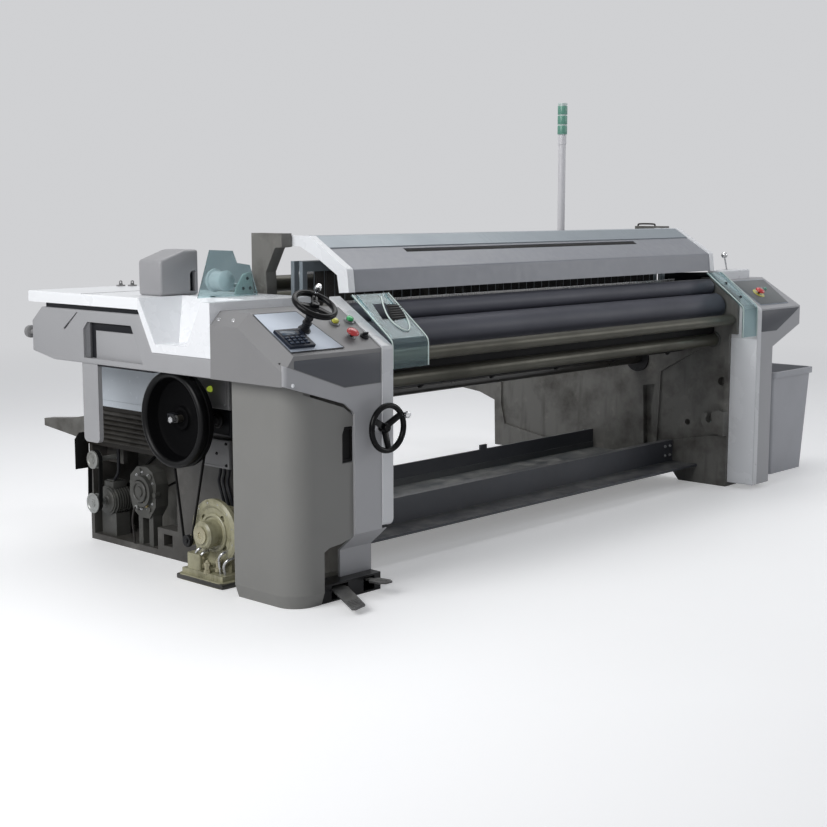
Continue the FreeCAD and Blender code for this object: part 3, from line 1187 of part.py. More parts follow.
left_tip, right_tip = -1190.0, -1086.0
keep("left_pedal", pedal(left_hub, [
    (-1846, pedal_y), (-1848, -968), (-1948, left_tip + 10), (-1938, left_tip), (-1868, left_tip + 14),
    (-1862, left_tip + 26), (-1764, -968), (-1764, pedal_y)], left_tip, 24))
keep("right_pedal", pedal(right_hub, [
    (-1648, pedal_y), (-1648, -984), (-1670, -1000), (-1672, -1060), (-1656, right_tip), (-1618, right_tip),
    (-1602, -1060), (-1602, -1000), (-1622, -984), (-1622, pedal_y)], right_tip, 58))

# ---------------------------------------------------------------- signal tower and waste bin
pole_x, pole_y, pole_r = 750.0, -138.0, 10.0
clamp_half = 16.0
clamp = rod_x(pole_x - clamp_half, pole_x + clamp_half, cross_y, cross_z, cross_r + 12)
clamp = clamp.fuse(box(pole_x - clamp_half, pole_x + clamp_half, cross_y, pole_y + 18, cross_z - 16, cross_z + 16))
clamp = clamp.cut(rod_x(pole_x - clamp_half - 1, pole_x + clamp_half + 1, cross_y, cross_z, cross_r + seat))
lamp_low = 2010.0
lamp_r = 26.0
lamp_high = 54.0
tower = [clamp, rod_z(cross_z - 10, lamp_low, pole_x, pole_y, pole_r), rod_z(lamp_low - 14, lamp_low, pole_x, pole_y, lamp_r - 6)]
for i in range(3):
    z = lamp_low + i * lamp_high
    tower.append(rod_z(z, z + lamp_high - 4, pole_x, pole_y, lamp_r))
    tower.append(rod_z(z + lamp_high - 5, z + lamp_high, pole_x, pole_y, lamp_r - 3))
tower.append(rod_z(lamp_low + 3 * lamp_high, lamp_low + 3 * lamp_high + 10, pole_x, pole_y, lamp_r))
keep("signal_tower", tower[0].multiFuse(tower[1:]).removeSplitter())

bin_high, bin_wall = 626.0, 5.0
bin_foot = (1948.0, 2340.0, -832.0, -560.0)
bin_rim = (1908.0, 2392.0, -854.0, -516.0)


def round_ring(x0, x1, y0, y1, r, z):
    """A closed rectangle with rounded corners, flat at height z."""
    c = r * (1 - math.cos(math.pi / 4))
    corners = [((x0 + r, y0), (x1 - r, y0), (x1 - c, y0 + c)), ((x1, y0 + r), (x1, y1 - r), (x1 - c, y1 - c)),
               ((x1 - r, y1), (x0 + r, y1), (x0 + c, y1 - c)), ((x0, y1 - r), (x0, y0 + r), (x0 + c, y0 + c))]
    parts = []
    for i, (a, b, mid) in enumerate(corners):
        nxt = corners[(i + 1) % 4][0]
        parts.append(Part.LineSegment(V(*a, z), V(*b, z)).toShape())
        parts.append(Part.Arc(V(*b, z), V(*mid, z), V(*nxt, z)).toShape())
    return Part.Wire(parts)


def tub(inset, low, corner):
    rings = []
    for (x0, x1, y0, y1), z in ((bin_foot, low), (bin_rim, bin_high)):
        rings.append(round_ring(x0 + inset, x1 - inset, y0 + inset, y1 - inset, corner, z))
    return Part.makeLoft(rings, True, True)


bin_corner = 32.0
tub_outer = tub(0, 0, bin_corner)
rim_out = 14.0
rim_deep = 34.0
rim_box = (bin_rim[0] - rim_out, bin_rim[1] + rim_out, bin_rim[2] - rim_out, bin_rim[3] + rim_out)


def collar(inset, z0, z1):
    ring = round_ring(rim_box[0] + inset, rim_box[1] - inset, rim_box[2] + inset, rim_box[3] - inset,
                      bin_corner + rim_out - inset, z0)
    return Part.Face(ring).extrude(V(0, 0, z1 - z0))


brim = collar(0, bin_high - rim_deep, bin_high).cut(collar(bin_wall, bin_high - rim_deep - 1, bin_high - bin_wall))
waste = tub_outer.fuse(brim).cut(tub(bin_wall, bin_wall, bin_corner - bin_wall))
keep("waste_bin", waste.removeSplitter())

# ---------------------------------------------------------------- origin and export
whole = FreeCAD.BoundBox()
for shape in nodes.values():
    whole.add(shape.BoundBox)
origin_x, origin_y = whole.Center.x, whole.Center.y
for name, shape in nodes.items():
    shape.translate(V(-origin_x, -origin_y, 0))
    shape.exportStep("parts/" + name + ".step")
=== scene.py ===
# %% [markdown]
# A power loom, dressed for its picture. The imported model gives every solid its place; this
# script adds the light, the camera, the surfaces and the finer pieces. Everything is in
# metres: +X runs along the weaving width, the weaver stands on the -Y side, +Z is up.

# %% Load the frame
import json
import math
import bmesh
import bpy
from mathutils import Matrix, Vector


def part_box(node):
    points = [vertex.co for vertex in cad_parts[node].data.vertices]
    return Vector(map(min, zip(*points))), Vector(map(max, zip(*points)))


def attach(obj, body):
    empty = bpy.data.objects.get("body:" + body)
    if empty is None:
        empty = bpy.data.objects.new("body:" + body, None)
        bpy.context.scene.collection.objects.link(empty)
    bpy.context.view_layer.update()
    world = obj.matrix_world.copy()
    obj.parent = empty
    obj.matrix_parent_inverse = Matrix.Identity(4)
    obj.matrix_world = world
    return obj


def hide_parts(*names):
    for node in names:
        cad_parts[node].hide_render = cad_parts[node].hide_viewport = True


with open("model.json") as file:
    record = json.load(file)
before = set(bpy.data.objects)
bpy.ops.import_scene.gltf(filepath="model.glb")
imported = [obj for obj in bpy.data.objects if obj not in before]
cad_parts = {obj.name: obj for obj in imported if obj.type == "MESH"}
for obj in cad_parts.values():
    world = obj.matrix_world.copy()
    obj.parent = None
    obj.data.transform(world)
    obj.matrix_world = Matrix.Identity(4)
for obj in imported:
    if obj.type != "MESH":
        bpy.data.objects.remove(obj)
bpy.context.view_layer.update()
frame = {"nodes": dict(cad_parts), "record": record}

print("nodes loaded:", len(frame["nodes"]))

# %% [markdown]
# The drawing of the loom was made in millimetres from the machine's own axes. The left
# console's corner lies at a known place in that drawing, so one function can turn a drawn
# place into one in this scene, and every piece below is given by drawn numbers.

# %% From the drawing to the scene
console_corner = Vector(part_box("left_console_housing")[0])
drawn_corner = Vector((-2.137, -1.0, 0.8873))


def mm(x, y, z):
    """A place in the drawing, in millimetres, as a place in the scene."""
    return console_corner + Vector((x, y, z)) / 1000 - drawn_corner


print("drawing origin lies at", [round(v, 4) for v in mm(0, 0, 0)])

# %% [markdown]
# A machine is built round a few lines that many pieces share. Each is named once, as its y and
# z in the drawing, so that a pulley's face, its screws and its cap all lie on the same axis.

# %% The loom's main lines
shaft_line = (-215, 708)         # the main shaft
motor_line = (630, 200)
let_off_line = (622, 412)
gearbox_line = (322, 290)
pump_line = (-350, 215)
rest_line = (700, 1120)          # the back rest roller
console_front = -1000            # y of both consoles' front walls
left_side = -2137                # x of the apron's outer face
frame_left, frame_right = -1575, 1490        # x of the two side frames' outer faces
print("main shaft in the scene:", [round(v, 4) for v in mm(0, *shaft_line)][1:])

# %% [markdown]
# The camera stands off the loom's left front corner, a little above the hood. A narrow field
# of view from far away keeps the long machine from looking stretched.

# %% Camera
view_turn = math.radians(43.0)       # the axis runs this far from +X towards +Y
view_down = math.radians(8.13)
look = Vector((math.cos(view_turn) * math.cos(view_down), math.sin(view_turn) * math.cos(view_down),
               -math.sin(view_down)))
camera_data = bpy.data.cameras.new("camera")
camera_data.lens = 63.55
camera_data.sensor_width = 36.0
camera = bpy.data.objects.new("camera", camera_data)
camera.location = mm(-5900, -5200, 1620)
camera.rotation_euler = look.to_track_quat("-Z", "Y").to_euler()
bpy.context.collection.objects.link(camera)
bpy.context.scene.camera = camera
print("camera at", [round(v, 3) for v in camera.location])

# %% [markdown]
# In the picture the light comes from a large soft source high on the left, so faces that look
# left are bright, tops are brightest and faces that look at the weaver are half as bright.
# A second bank hangs over the machine, and a weak one in front opens the shadows.

# %% Light
bpy.context.scene.view_settings.view_transform = "Standard"


def area_lamp(name, place, target, size, power):
    """A rectangular soft light at a place, turned to a target."""
    data = bpy.data.lights.new(name, "AREA")
    data.shape = "RECTANGLE"
    data.size, data.size_y = size
    data.energy = power
    lamp = bpy.data.objects.new(name, data)
    lamp.location = place
    lamp.rotation_euler = (Vector(target) - Vector(place)).to_track_quat("-Z", "Y").to_euler()
    bpy.context.collection.objects.link(lamp)


area_lamp("key_left", (-6.8, -0.9, 3.9), (-0.8, -0.3, 0.8), (4.5, 3.2), 278)
area_lamp("top_bank", (0.4, 0.5, 5.2), (0.2, 0.0, 0.8), (6.5, 2.6), 125)
area_lamp("front_fill", (5.4, -5.6, 2.8), (1.6, -0.5, 0.7), (4.0, 3.0), 88)

# %% [markdown]
# A node tree is built by the same few steps again and again: add a node, set its values, wire
# its sockets. One helper does all three, so that each material below reads as a short list.

# %% A helper for node trees


def node(tree, kind, settings=None, **sockets):
    """Add a node. settings are its own properties; sockets are values, or outputs to wire in."""
    made = tree.nodes.new(kind)
    for key, value in (settings or {}).items():
        setattr(made, key, value)
    for key, value in sockets.items():
        name = key.replace("_", " ")
        target = made.inputs[int(name[1:])] if name[0] == "i" and name[1:].isdigit() else made.inputs[name]
        if isinstance(value, bpy.types.NodeSocket):
            tree.links.new(value, target)
        else:
            target.default_value = value
    return made


def maths(tree, operation, a, b):
    """One Math node, and its result."""
    return node(tree, "ShaderNodeMath", {"operation": operation}, i0=a, i1=b).outputs[0]


print("helpers so far:", node.__name__, maths.__name__)

# %% [markdown]
# The world is a plain grey backdrop where the camera, a mirror or clear plastic looks at it. For
# all other rays it is a weak blue-white light, so the backdrop's tone doesn't light the loom.

# %% World
world = bpy.data.worlds.new("studio")
bpy.context.scene.world = world
world.use_nodes = True
world_tree = world.node_tree
world_tree.nodes.clear()
rays = node(world_tree, "ShaderNodeLightPath")
seen = maths(world_tree, "MAXIMUM", rays.outputs["Is Camera Ray"], rays.outputs["Is Transmission Ray"])
seen = maths(world_tree, "MAXIMUM", seen, rays.outputs["Is Glossy Ray"])
backdrop = (0.63, 0.635, 0.65, 1)
pale = node(world_tree, "ShaderNodeBackground", Color=backdrop, Strength=1.0)
ambient = node(world_tree, "ShaderNodeBackground", Color=(0.84, 0.90, 1.0, 1), Strength=0.20)
both = node(world_tree, "ShaderNodeMixShader", Fac=seen, i1=ambient.outputs[0], i2=pale.outputs[0])
node(world_tree, "ShaderNodeOutputWorld", Surface=both.outputs[0])
print("world nodes:", len(world_tree.nodes))

# %% [markdown]
# Several finishes share an effect, such as the peel of sprayed paint or the skin of a casting.
# Each effect is a node group with named inputs. A group puts out a colour, a roughness and a
# height, and the material that uses it keeps its own shader.

# %% A helper for node groups
group_outputs = (("Colour", "NodeSocketColor"), ("Roughness", "NodeSocketFloat"), ("Height", "NodeSocketFloat"))


def new_group(name, inputs, outputs=group_outputs):
    """An empty group: its tree, its input node and its output node."""
    tree = bpy.data.node_groups.new(name, "ShaderNodeTree")
    for label, value in inputs:
        kind = "NodeSocketColor" if isinstance(value, tuple) else "NodeSocketFloat"
        made = tree.interface.new_socket(name=label, in_out="INPUT", socket_type=kind)
        made.default_value = value
    for label, kind in outputs:
        tree.interface.new_socket(name=label, in_out="OUTPUT", socket_type=kind)
    return tree, tree.nodes.new("NodeGroupInput").outputs, tree.nodes.new("NodeGroupOutput")


def place_of(tree, stretch=(1, 1, 1)):
    """Object coordinates, stretched."""
    spot = node(tree, "ShaderNodeTexCoord").outputs["Object"]
    return node(tree, "ShaderNodeMapping", Vector=spot, Scale=stretch).outputs[0]


def noise(tree, scale, detail=3.0, stretch=(1, 1, 1), rough=0.55):
    """Fractal noise over the object, from 0 to 1."""
    return node(tree, "ShaderNodeTexNoise", Vector=place_of(tree, stretch), Scale=scale, Detail=detail,
                Roughness=rough).outputs["Fac"]


def ramp(tree, value, low, high, out_low=0.0, out_high=1.0):
    """Map a value's range to another one, clamped."""
    return node(tree, "ShaderNodeMapRange", i0=value, i1=low, i2=high, i3=out_low, i4=out_high).outputs[0]


def blend(tree, factor, a, b):
    """Mix two colours."""
    return node(tree, "ShaderNodeMix", {"data_type": "RGBA"}, i0=factor, i6=a, i7=b).outputs[2]


def give(group, outlet, colour, rough, height):
    """Wire a finished skin's colour, roughness and height to its group's outlet."""
    for label, value in zip(("Colour", "Roughness", "Height"), (colour, rough, height)):
        group.links.new(value, outlet.inputs[label])
    print(group.name, "has", len(group.nodes), "nodes")


print("groups give:", [label for label, kind in group_outputs])

# %% [markdown]
# Sprayed paint on sheet metal is nearly even. Seen close it has a fine peel, faint clouds of
# tone, a little dust on faces that look up and a scuffed, dirtier band near the floor.

# %% Sprayed paint
spray, given, result = new_group("sprayed_paint", (
    ("Paint", (0.2, 0.2, 0.2, 1)), ("Shade", (0.15, 0.15, 0.15, 1)), ("Gloss", 0.4), ("Clouds", 2.2),
    ("Dust", 0.15), ("Scuff", 0.25)))
clouds = ramp(spray, noise(spray, given["Clouds"], 4.0), 0.32, 0.72)
colour = blend(spray, clouds, given["Paint"], given["Shade"])
facing = node(spray, "ShaderNodeSeparateXYZ",
              Vector=node(spray, "ShaderNodeNewGeometry").outputs["Normal"]).outputs[2]
lying = maths(spray, "MULTIPLY", ramp(spray, facing, 0.6, 0.95), ramp(spray, noise(spray, 9.0, 5.0), 0.35, 0.7))
dusty = maths(spray, "MULTIPLY", lying, given["Dust"])
colour = blend(spray, dusty, colour, (0.55, 0.54, 0.50, 1))
level = node(spray, "ShaderNodeSeparateXYZ", Vector=place_of(spray)).outputs[2]
low_band = maths(spray, "MULTIPLY", ramp(spray, level, 0.32, 0.02),
                 ramp(spray, noise(spray, 14.0, 5.0, (1, 1, 0.35)), 0.4, 0.75))
scuffed = maths(spray, "MULTIPLY", low_band, given["Scuff"])
colour = blend(spray, scuffed, colour, (0.05, 0.047, 0.042, 1))
uneven = ramp(spray, noise(spray, 30.0, 3.0), 0.3, 0.7, -0.05, 0.06)
spray_rough = maths(spray, "ADD", given["Gloss"], maths(spray, "ADD", uneven, maths(spray, "MULTIPLY", dusty, 0.5)))
peel = noise(spray, 420.0, 2.0)
give(spray, result, colour, spray_rough, peel)

# %% [markdown]
# A casting keeps the grain of the sand it was poured in, even under paint. Oil and dust make
# blotches on it, and thin runs go down from holes and joints.

# %% Cast skin
cast, given, result = new_group("cast_skin", (
    ("Paint", (0.2, 0.2, 0.19, 1)), ("Oil", (0.05, 0.045, 0.035, 1)), ("Pale", (0.32, 0.31, 0.28, 1)),
    ("Gloss", 0.5), ("Stain", 0.5), ("Grain", 160.0)))
blotch = ramp(cast, noise(cast, 3.4, 6.0, rough=0.62), 0.46, 0.68)
runs = ramp(cast, noise(cast, 16.0, 4.0, (1, 1, 0.12)), 0.52, 0.74)
stain = maths(cast, "MULTIPLY", maths(cast, "MAXIMUM", blotch, maths(cast, "MULTIPLY", runs, 0.6)), given["Stain"])
chalk = maths(cast, "MULTIPLY", ramp(cast, noise(cast, 7.5, 5.0), 0.58, 0.75), given["Stain"])
colour = blend(cast, maths(cast, "MULTIPLY", chalk, 0.5), given["Paint"], given["Pale"])
colour = blend(cast, stain, colour, given["Oil"])
cast_rough = maths(cast, "SUBTRACT", given["Gloss"], maths(cast, "MULTIPLY", stain, 0.18))
sand = noise(cast, given["Grain"], 4.0, rough=0.7)
give(cast, result, colour, cast_rough, sand)

# %% [markdown]
# The big covers are moulded. Their skin has a fine grain that breaks up reflections, hardly any
# colour change, and soft smudges where hands touch them.

# %% Moulded grain
mould, given, result = new_group("moulded_grain", (
    ("Plastic", (0.2, 0.2, 0.2, 1)), ("Gloss", 0.5), ("Grain", 900.0), ("Smudge", 0.2)))
hands = ramp(mould, noise(mould, 5.0, 4.0), 0.45, 0.75)
marks = ramp(mould, noise(mould, 55.0, 3.0, (1, 1, 0.3)), 0.66, 0.78)
tone = maths(mould, "MULTIPLY", maths(mould, "ADD", hands, marks), maths(mould, "MULTIPLY", given["Smudge"], 0.35))
colour = blend(mould, tone, given["Plastic"], (0.06, 0.058, 0.055, 1))
mould_rough = maths(mould, "SUBTRACT", given["Gloss"], maths(mould, "MULTIPLY", hands, 0.07))
cells = node(mould, "ShaderNodeTexVoronoi", Vector=place_of(mould), Scale=given["Grain"]).outputs["Distance"]
give(mould, result, colour, mould_rough, cells)

# %% [markdown]
# Rollers and tubes are turned or drawn along X, so their marks are rings and long lines that
# lie across or along the axis. Stretching noise hard in one direction gives both.

# %% Turned metal and wound rubber
lathe, given, result = new_group("turned_surface", (
    ("Metal", (0.4, 0.4, 0.4, 1)), ("Film", (0.1, 0.1, 0.09, 1)), ("Gloss", 0.3), ("Rings", 300.0),
    ("Patch", 0.4)))
rings = node(lathe, "ShaderNodeTexNoise", Vector=place_of(lathe, (1, 0, 0)), Scale=given["Rings"],
             Detail=2.0).outputs["Fac"]
film = maths(lathe, "MULTIPLY", ramp(lathe, noise(lathe, 5.0, 5.0, (0.5, 1, 1)), 0.42, 0.7), given["Patch"])
colour = blend(lathe, film, given["Metal"], given["Film"])
lathe_rough = maths(lathe, "ADD", given["Gloss"], maths(lathe, "ADD", ramp(lathe, rings, 0.35, 0.65, -0.05, 0.05),
                                                      maths(lathe, "MULTIPLY", film, 0.2)))
give(lathe, result, colour, lathe_rough, rings)

# %% [markdown]
# Paint wears first at edges. A Bevel node rounds the shading normal near an edge, so the angle
# between it and the true normal marks the edges of any mesh, however it is cut.

# %% Rubbed edges
rub, given, result = new_group("rubbed_edges", (("Reach", 0.002), ("Breakup", 60.0)), (("Mask", "NodeSocketFloat"),))
soft = node(rub, "ShaderNodeBevel", {"samples": 4}, Radius=given["Reach"]).outputs[0]
hard = node(rub, "ShaderNodeNewGeometry").outputs["Normal"]
alike = node(rub, "ShaderNodeVectorMath", {"operation": "DOT_PRODUCT"}, i0=soft, i1=hard).outputs["Value"]
edge = ramp(rub, alike, 0.985, 0.90)
chips = ramp(rub, node(rub, "ShaderNodeTexNoise", Vector=place_of(rub), Scale=given["Breakup"],
                       Detail=4.0).outputs["Fac"], 0.38, 0.62)
rub.links.new(maths(rub, "MULTIPLY", edge, chips), result.inputs["Mask"])
print("groups:", [g.name for g in bpy.data.node_groups])

# %% [markdown]
# A finish is one group wired to one Principled shader. Values that are the same all over, such
# as coat or metallic, are set on the shader itself.

# %% A helper for finishes
finishes = {}


def finish(name, group, bump, depth=0.0004, shader=None, worn=None, **values):
    """A material from a group. worn is the colour that shows where the edges are rubbed."""
    made = bpy.data.materials.new(name)
    made.use_nodes = True
    tree = made.node_tree
    skin = tree.nodes["Principled BSDF"]
    source = tree.nodes.new("ShaderNodeGroup")
    source.node_tree = group
    for key, value in values.items():
        source.inputs[key].default_value = value
    colour = source.outputs["Colour"]
    if worn:
        edges = tree.nodes.new("ShaderNodeGroup")
        edges.node_tree = rub
        colour = blend(tree, edges.outputs["Mask"], colour, worn)
    tree.links.new(colour, skin.inputs["Base Color"])
    tree.links.new(source.outputs["Roughness"], skin.inputs["Roughness"])
    height = node(tree, "ShaderNodeBump", Strength=bump, Distance=depth, Height=source.outputs["Height"])
    tree.links.new(height.outputs[0], skin.inputs["Normal"])
    for key, value in (shader or {}).items():
        skin.inputs[key.replace("_", " ")].default_value = value
    made.diffuse_color = source.inputs[0].default_value
    finishes[name] = made


def moulded(name, plastic, gloss, smudge=0.1, bump=0.10, shader=None, **values):
    """A moulded finish with the fine, shallow grain that most of the covers have."""
    finish(name, mould, bump, 0.0002, shader=shader, Plastic=(*plastic, 1), Gloss=gloss, Smudge=smudge, **values)


def grey(level, blue=0.0):
    """A grey by its linear level, a little cooler or warmer."""
    return (level, level * (1 + blue * 0.3), level * (1 + blue), 1)


print("a middle grey:", grey(0.2))

# %% [markdown]
# The loom's finishes, from the castings out to the covers. The levels are linear, so 0.2 looks
# like a middle grey.

# %% Finishes of the frame and the drive
finish("frame_grey", cast, 0.5, Paint=(0.150, 0.147, 0.136, 1), Oil=(0.026, 0.022, 0.016, 1), Gloss=0.50, Stain=0.85)
# The drive bay's casting is painted much darker than the side frames as painted shade inside the bay; its oil stains
# are real.
finish("bay_shaded_grey", cast, 0.35, Paint=(0.066, 0.063, 0.058, 1), Oil=(0.022, 0.018, 0.014, 1),
       Pale=(0.20, 0.19, 0.17, 1), Gloss=0.45, Stain=0.8)
finish("wheel_black", cast, 0.12, shader={"Specular_IOR_Level": 0.18}, Paint=(0.0032, 0.0032, 0.0036, 1),
       Oil=(0.0015, 0.0015, 0.0015, 1), Pale=(0.006, 0.006, 0.007, 1), Gloss=0.38, Stain=0.3, Grain=300.0)
# A darker, duller black for the inside of the drive wheel's dish: painted shade in the deep dish.
moulded("wheel_dish_shade", (0.0022, 0.0022, 0.0025), 0.55, 0.0, shader={"Specular_IOR_Level": 0.04})
finish("pulley_pale", lathe, 0.2, shader={"Metallic": 0.6}, Metal=(0.36, 0.37, 0.36, 1), Film=(0.14, 0.13, 0.11, 1),
       Gloss=0.34, Patch=0.6)
finish("collar_grey", lathe, 0.1, shader={"Metallic": 0.5}, Metal=(0.20, 0.205, 0.215, 1),
       Film=(0.12, 0.12, 0.12, 1), Gloss=0.32)
finish("dark_steel", spray, 0.12, shader={"Specular_IOR_Level": 0.3}, Paint=(0.026, 0.023, 0.021, 1),
       Shade=(0.015, 0.013, 0.012, 1), Gloss=0.36, Dust=0.2)
finish("bright_steel", lathe, 0.12, shader={"Metallic": 0.9}, Metal=grey(0.60, 0.02), Film=grey(0.20), Gloss=0.24,
       Patch=0.5)
finish("beam_black", spray, 0.15, worn=grey(0.10), Paint=(0.056, 0.060, 0.072, 1), Shade=(0.040, 0.043, 0.052, 1),
       Gloss=0.40, Dust=0.30)
finish("tray_steel", spray, 0.12, Paint=(0.070, 0.078, 0.084, 1), Shade=(0.045, 0.050, 0.055, 1), Gloss=0.35,
       Dust=0.3)
finish("tube_steel", lathe, 0.10, shader={"Metallic": 0.4, "Specular_IOR_Level": 0.3}, Metal=(0.085, 0.082, 0.064, 1),
       Film=(0.040, 0.038, 0.028, 1), Gloss=0.34,
       Patch=0.8)
finish("roller_rubber", lathe, 0.35, shader={"Specular_IOR_Level": 0.3}, Metal=(0.078, 0.080, 0.100, 1),
       Film=(0.055, 0.057, 0.070, 1), Gloss=0.46, Rings=700.0,
       Patch=0.5)
finish("black_iron", cast, 0.25, shader={"Specular_IOR_Level": 0.25}, Paint=(0.0095, 0.0095, 0.0105, 1),
       Oil=(0.004, 0.004, 0.004, 1), Pale=(0.022, 0.022, 0.024, 1), Gloss=0.33, Stain=0.5, Grain=260.0)
# Oily black iron. On the pump's tray it is oil; on the main shaft the same black is painted shade under the cloth.
finish("oil_and_shade_black", cast, 0.3, shader={"Coat_Weight": 0.3}, worn=grey(0.06), Paint=(0.026, 0.024, 0.020, 1),
       Oil=(0.008, 0.007, 0.005, 1), Pale=(0.07, 0.065, 0.05, 1), Gloss=0.36, Stain=0.8)
moulded("handwheel_black", (0.0035, 0.0035, 0.004), 0.22, 0.05, bump=0.04, shader={"Specular_IOR_Level": 0.14})
finish("motor_grey", cast, 0.25, Paint=(0.062, 0.062, 0.057, 1), Oil=(0.018, 0.016, 0.013, 1), Gloss=0.42, Stain=0.6)
finish("gear_iron", cast, 0.6, worn=grey(0.10), Paint=(0.058, 0.058, 0.052, 1), Oil=(0.020, 0.018, 0.015, 1),
       Pale=(0.18, 0.175, 0.16, 1), Gloss=0.46, Stain=0.7, Grain=120.0)
finish("pump_iron", cast, 0.5, worn=(0.42, 0.41, 0.32, 1), Paint=(0.34, 0.325, 0.215, 1),
       Oil=(0.055, 0.046, 0.022, 1), Pale=(0.50, 0.49, 0.38, 1), Gloss=0.34, Stain=0.9, Grain=140.0)
finish("belt_rubber", mould, 0.3, shader={"Specular_IOR_Level": 0.15}, Plastic=(0.007, 0.007, 0.007, 1), Gloss=0.62,
       Grain=500.0, Smudge=0.1)
print("finishes so far:", len(finishes))

# %% [markdown]
# The covers are moulded or sprayed in three greys and a white, and the small parts in signal
# colours. Their gloss is low, because new machine covers are satin and not polished.

# %% Finishes of the covers
moulded("cover_grey", (0.205, 0.203, 0.205), 0.46, 0.12)
moulded("apron_grey", (0.325, 0.325, 0.334), 0.45, 0.12)
moulded("panel_grey", (0.385, 0.385, 0.398), 0.42)
finish("plate_silver", lathe, 0.05, shader={"Metallic": 0.35}, Metal=(0.36, 0.40, 0.46, 1),
       Film=(0.31, 0.35, 0.41, 1), Gloss=0.36, Patch=0.3)
moulded("plate_dark", (0.115, 0.125, 0.128), 0.40, bump=0.08)
moulded("black_plastic", (0.010, 0.0105, 0.013), 0.38, bump=0.15, shader={"Specular_IOR_Level": 0.22})
moulded("trim_white", (0.80, 0.81, 0.83), 0.28, 0.0, bump=0.05)
moulded("trim_pale", (0.64, 0.645, 0.66), 0.30, 0.08, bump=0.05)
moulded("leg_grey", (0.190, 0.188, 0.178), 0.44, 0.18)
moulded("feeder_grey", (0.300, 0.298, 0.308), 0.42)
# A dark grey for the table's joint, and for painted shade along the apron's window.
moulded("seal_and_shade_grey", (0.105, 0.106, 0.112), 0.50, bump=0.12)
moulded("table_white", (0.84, 0.85, 0.865), 0.32, 0.0, bump=0.05)
finish("pale_panel", spray, 0.06, Paint=(0.54, 0.58, 0.62, 1), Shade=(0.44, 0.48, 0.52, 1), Gloss=0.22, Dust=0.1)
finish("hood_grey", spray, 0.07, Paint=(0.245, 0.255, 0.285, 1), Shade=(0.225, 0.234, 0.262, 1), Gloss=0.36,
       Dust=0.10)
finish("rail_silver", lathe, 0.08, shader={"Metallic": 0.3}, Metal=(0.27, 0.31, 0.34, 1),
       Film=(0.21, 0.24, 0.265, 1), Gloss=0.32, Patch=0.4)
finish("chrome_knob", lathe, 0.03, shader={"Metallic": 1.0}, Metal=grey(0.78, 0.02), Film=grey(0.5), Gloss=0.10,
       Patch=0.3)
finish("pedal_steel", spray, 0.2, worn=grey(0.30), Paint=grey(0.075), Shade=grey(0.05), Gloss=0.40, Dust=0.3,
       Scuff=0.5)
finish("pole_white", spray, 0.05, Paint=(0.72, 0.71, 0.73, 1), Shade=(0.66, 0.65, 0.67, 1), Gloss=0.30, Dust=0.0,
       Scuff=0.0)
finish("pole_pale", spray, 0.05, Paint=(0.58, 0.67, 0.64, 1), Shade=(0.52, 0.61, 0.585, 1), Gloss=0.30, Dust=0.0,
       Scuff=0.0)
finish("bin_grey", mould, 0.15, 0.0003, Plastic=(0.40, 0.405, 0.43, 1), Gloss=0.48, Grain=600.0, Smudge=0.25)
moulded("green_plastic", (0.03, 0.42, 0.12), 0.25, bump=0.03, shader={"Coat_Weight": 0.5})
moulded("yellow_plastic", (0.62, 0.62, 0.08), 0.25, bump=0.03, shader={"Coat_Weight": 0.5})
moulded("red_plastic", (0.58, 0.018, 0.022), 0.25, bump=0.03, shader={"Coat_Weight": 0.5})
finish("floor_paint", spray, 0.03, Paint=(0.90, 0.90, 0.905, 1), Shade=(0.87, 0.87, 0.875, 1), Gloss=0.55,
       Clouds=0.4, Dust=0.0, Scuff=0.0)
moulded("guard_clear", (0.56, 0.72, 0.74), 0.08, 0.15, bump=0.02, shader={"Transmission_Weight": 0.92, "IOR": 1.30})
moulded("amber_glass", (0.45, 0.33, 0.10), 0.15, 0.2, bump=0.02, shader={"Coat_Weight": 0.6})
moulded("cover_dark", (0.082, 0.086, 0.098), 0.42, 0.12, shader={"Specular_IOR_Level": 0.35})
moulded("keypad_navy", (0.007, 0.011, 0.022), 0.34, shader={"Specular_IOR_Level": 0.25})
finish("display_glass", spray, 0.01, shader={"Specular_IOR_Level": 0.3}, Paint=(0.085, 0.115, 0.155, 1),
       Shade=(0.060, 0.085, 0.120, 1), Gloss=0.12, Dust=0.05, Scuff=0.0)
moulded("key_blue", (0.030, 0.045, 0.075), 0.34)
finish("louvre_brown", spray, 0.10, shader={"Specular_IOR_Level": 0.2}, Paint=(0.016, 0.0135, 0.0105, 1),
       Shade=(0.008, 0.007, 0.006, 1), Gloss=0.36, Dust=0.3)
moulded("lamp_yellow", (0.52, 0.60, 0.06), 0.2, bump=0.02, shader={"Emission_Color": (0.7, 0.9, 0.1, 1),
    "Emission_Strength": 0.25})
moulded("lens_green", (0.13, 0.33, 0.25), 0.38, bump=0.02, shader={"Coat_Weight": 0.1})
finish("pump_bright", lathe, 0.15, shader={"Metallic": 0.55}, Metal=(0.46, 0.43, 0.30, 1),
       Film=(0.16, 0.13, 0.07, 1), Gloss=0.28, Patch=0.7)
print("finishes:", len(finishes))

# %% [markdown]
# Each solid of the imported model takes the finish of its material slot, and a few take one of
# their own: the drive bay is darker than the side frames as painted shade inside the bay, and
# the gearbox is a rough casting.

